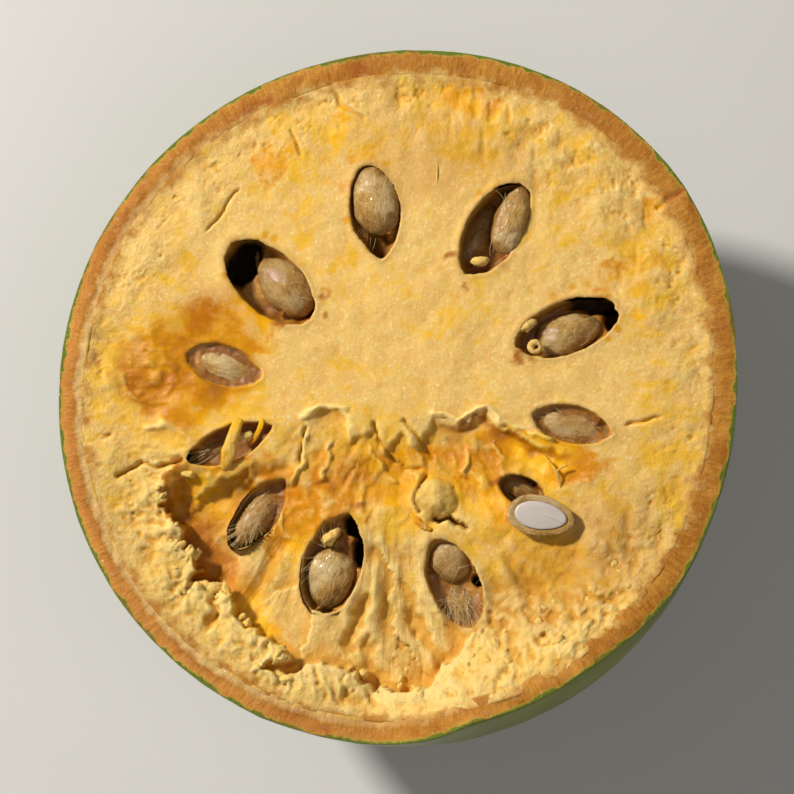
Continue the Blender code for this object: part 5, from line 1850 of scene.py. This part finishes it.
def build_strands():
    """The flat yellow strand over one locule, and the smaller strands and flaps that were torn up."""
    bundle = Bundle()
    gel, yellow = [], []

    def add(path, half_width, half_thickness, clear, ripe, seed):
        count = add_ribbon(bundle, path, half_width, half_thickness, seed)
        gel.append(np.full(count, clear))
        yellow.append(np.full(count, ripe))

    add([(x, y, CUT_HEIGHT + z) for x, y, z in STRAND_POINTS], *STRAND_LOOK, 311)
    for number, (half_width, half_thickness, clear, ripe, path) in enumerate(RIBBONS):
        x, y, z = np.array(path).T
        lifted = np.stack([x, y, CUT_HEIGHT + face_form(x, y).height + z], 1)
        add(lifted, half_width, half_thickness, clear, ripe, 320 + 3 * number)
    stub_x, stub_y, stub_height, stub_radius, stub_width = STUB
    turn = np.linspace(0.0, 2.0 * np.pi, 10)
    x, y = stub_x + stub_radius * np.cos(turn), stub_y + stub_radius * np.sin(turn)
    ring = np.stack([x, y, CUT_HEIGHT + stub_height + 0.0 * turn], 1)
    add(ring, stub_width, 0.5, 0.0, 0.0, 390)
    points = bundle.places()
    shares = plain_masks(points)
    shares["fibrous"] = np.full(len(points), 0.6)
    shares["fan"] = points * np.array([3.0, 0.6, 3.0])
    shares["gel"] = np.concatenate(gel)
    shares["yellow"] = np.concatenate(yellow)
    piece = mesh_object("pulp_strands", points, bundle.faces, [bpy.data.materials["pulp_flesh"]], shares)
    declare(piece, "pulp")


def direction_to(azimuth, elevation):
    """The unit direction from the object towards an azimuth and elevation, in degrees."""
    turn, rise = math.radians(azimuth), math.radians(elevation)
    return Vector((math.cos(turn) * math.cos(rise), math.sin(turn) * math.cos(rise), math.sin(rise)))


def add_light(name, azimuth, elevation, distance, size, power, colour):
    light = bpy.data.lights.new(name, "AREA")
    light.shape = "DISK"
    light.size = size
    light.energy = power
    light.color = colour
    lamp = bpy.data.objects.new(name, light)
    bpy.context.scene.collection.objects.link(lamp)
    target = Vector((0.0, 0.0, CUT_HEIGHT * MM))
    heading = direction_to(azimuth, elevation)
    lamp.location = target + heading * distance
    lamp.rotation_euler = heading.to_track_quat("Z", "Y").to_euler()


def add_camera(sizes):
    """The camera over the cut face, leaning a little to the lower right, with +Y up in the picture."""
    camera = bpy.data.cameras.new("camera")
    camera.sensor_width = SENSOR_WIDTH
    camera.lens = SENSOR_WIDTH * sizes.camera_distance / (FRAME_WIDTH * MM)
    camera.clip_start = 0.01
    holder = bpy.data.objects.new("camera", camera)
    bpy.context.scene.collection.objects.link(holder)
    target = Vector((*VIEW_MIDDLE, CUT_HEIGHT)) * MM
    heading = direction_to(VIEW_AZIMUTH, 90.0 - math.degrees(sizes.camera_tilt))
    right = Vector((0.0, 1.0, 0.0)).cross(heading).normalized()
    up = heading.cross(right)
    facing = Matrix((right, up, heading)).transposed().to_4x4()
    holder.matrix_world = Matrix.Translation(target + heading * sizes.camera_distance) @ facing
    bpy.context.scene.camera = holder


def build_stage(sizes):
    """Plain pale floor, soft studio light from the upper left and the camera over the face."""
    finish = Shader("pale_floor")
    cloud = finish.noise(6.0, 3.0)
    finish.set(Base_Color=finish.blend(finish.spread(cloud, 0.3, 0.7), Shade.floor_dark, Shade.floor_light))
    finish.set(Roughness=0.85)
    mesh = bpy.data.meshes.new("floor")
    corners = [(x * FLOOR_REACH, y * FLOOR_REACH, 0) for x, y in ((-1, -1), (1, -1), (1, 1), (-1, 1))]
    mesh.from_pydata(corners, [], [(0, 1, 2, 3)])
    mesh.materials.append(finish.material)
    floor = bpy.data.objects.new("floor", mesh)
    bpy.context.scene.collection.objects.link(floor)
    for light in LIGHTS:
        add_light(*light)
    world = bpy.data.worlds.new("studio")
    world.use_nodes = True
    background = world.node_tree.nodes["Background"]
    background.inputs["Color"].default_value = STUDIO_COLOUR
    background.inputs["Strength"].default_value = STUDIO_STRENGTH
    bpy.context.scene.world = world
    bpy.context.scene.view_settings.view_transform = "Standard"
    bpy.context.scene.view_settings.look = "None"
    add_camera(sizes)


class PieceOperator:
    """What the operators share: a plain run of one building function."""

    bl_options = {"REGISTER", "UNDO"}

    def execute(self, context):
        self.build(context.scene.bael_sizes, context.scene.bael_colours)
        return {"FINISHED"}


class BAEL_OT_shell(PieceOperator, Operator):
    """Make the woody shell with its skin and its cut wood"""

    bl_idname = "bael.shell"
    bl_label = "Woody shell"

    def build(self, sizes, colours):
        build_shell(sizes, colours)


class BAEL_OT_pulp(PieceOperator, Operator):
    """Make the pulp with its locules and torn places, and the strand on it"""

    bl_idname = "bael.pulp"
    bl_label = "Pulp and strand"

    def build(self, sizes, colours):
        build_pulp(sizes, colours)
        build_strands()


class BAEL_OT_seeds(PieceOperator, Operator):
    """Make the seeds and their loose wool"""

    bl_idname = "bael.seeds"
    bl_label = "Seeds and wool"

    def build(self, sizes, colours):
        for number, (name, seed) in enumerate(SEEDS.items()):
            build_seed(name, seed, number, colours)
        build_wool(sizes, colours)


class BAEL_OT_gum(PieceOperator, Operator):
    """Make the brown gum that fills the locules round the seeds"""

    bl_idname = "bael.gum"
    bl_label = "Gum"

    def build(self, sizes, colours):
        build_gum(sizes, colours)


class BAEL_OT_crumbs(PieceOperator, Operator):
    """Make the crumbs of torn pulp"""

    bl_idname = "bael.crumbs"
    bl_label = "Crumbs"

    def build(self, sizes, colours):
        build_crumbs(sizes, colours)


class BAEL_OT_cut_seed(PieceOperator, Operator):
    """Make the halved seed with its white kernel"""

    bl_idname = "bael.cut_seed"
    bl_label = "Cut seed"

    def build(self, sizes, colours):
        build_cut_seed(colours)


class BAEL_OT_stage(PieceOperator, Operator):
    """Make the floor, the lights and the camera"""

    bl_idname = "bael.stage"
    bl_label = "Stage"

    def build(self, sizes, colours):
        build_stage(sizes)


STEPS = (
    BAEL_OT_shell,
    BAEL_OT_pulp,
    BAEL_OT_crumbs,
    BAEL_OT_gum,
    BAEL_OT_seeds,
    BAEL_OT_cut_seed,
    BAEL_OT_stage,
)


class BAEL_PT_panel(Panel):
    """Sizes, colours and steps of the halved fruit"""

    bl_label = "Halved bael fruit"
    bl_idname = "BAEL_PT_panel"
    bl_space_type = "VIEW_3D"
    bl_region_type = "UI"
    bl_category = "Bael"

    def draw(self, context):
        for group in (context.scene.bael_sizes, context.scene.bael_colours):
            box = self.layout.box()
            for key in group.__annotations__:
                box.prop(group, key)
        for step in STEPS:
            self.layout.operator(step.bl_idname)


CLASSES = (FruitSizes, FruitColours, *STEPS, BAEL_PT_panel)


def register():
    for item in CLASSES:
        bpy.utils.register_class(item)
    bpy.types.Scene.bael_sizes = PointerProperty(type=FruitSizes)
    bpy.types.Scene.bael_colours = PointerProperty(type=FruitColours)


def unregister():
    del bpy.types.Scene.bael_colours
    del bpy.types.Scene.bael_sizes
    for item in reversed(CLASSES):
        bpy.utils.unregister_class(item)


def main():
    register()
    bpy.ops.bael.shell()
    bpy.ops.bael.pulp()
    bpy.ops.bael.crumbs()
    bpy.ops.bael.gum()
    bpy.ops.bael.seeds()
    bpy.ops.bael.cut_seed()
    bpy.ops.bael.stage()


if __name__ == "__main__":
    main()
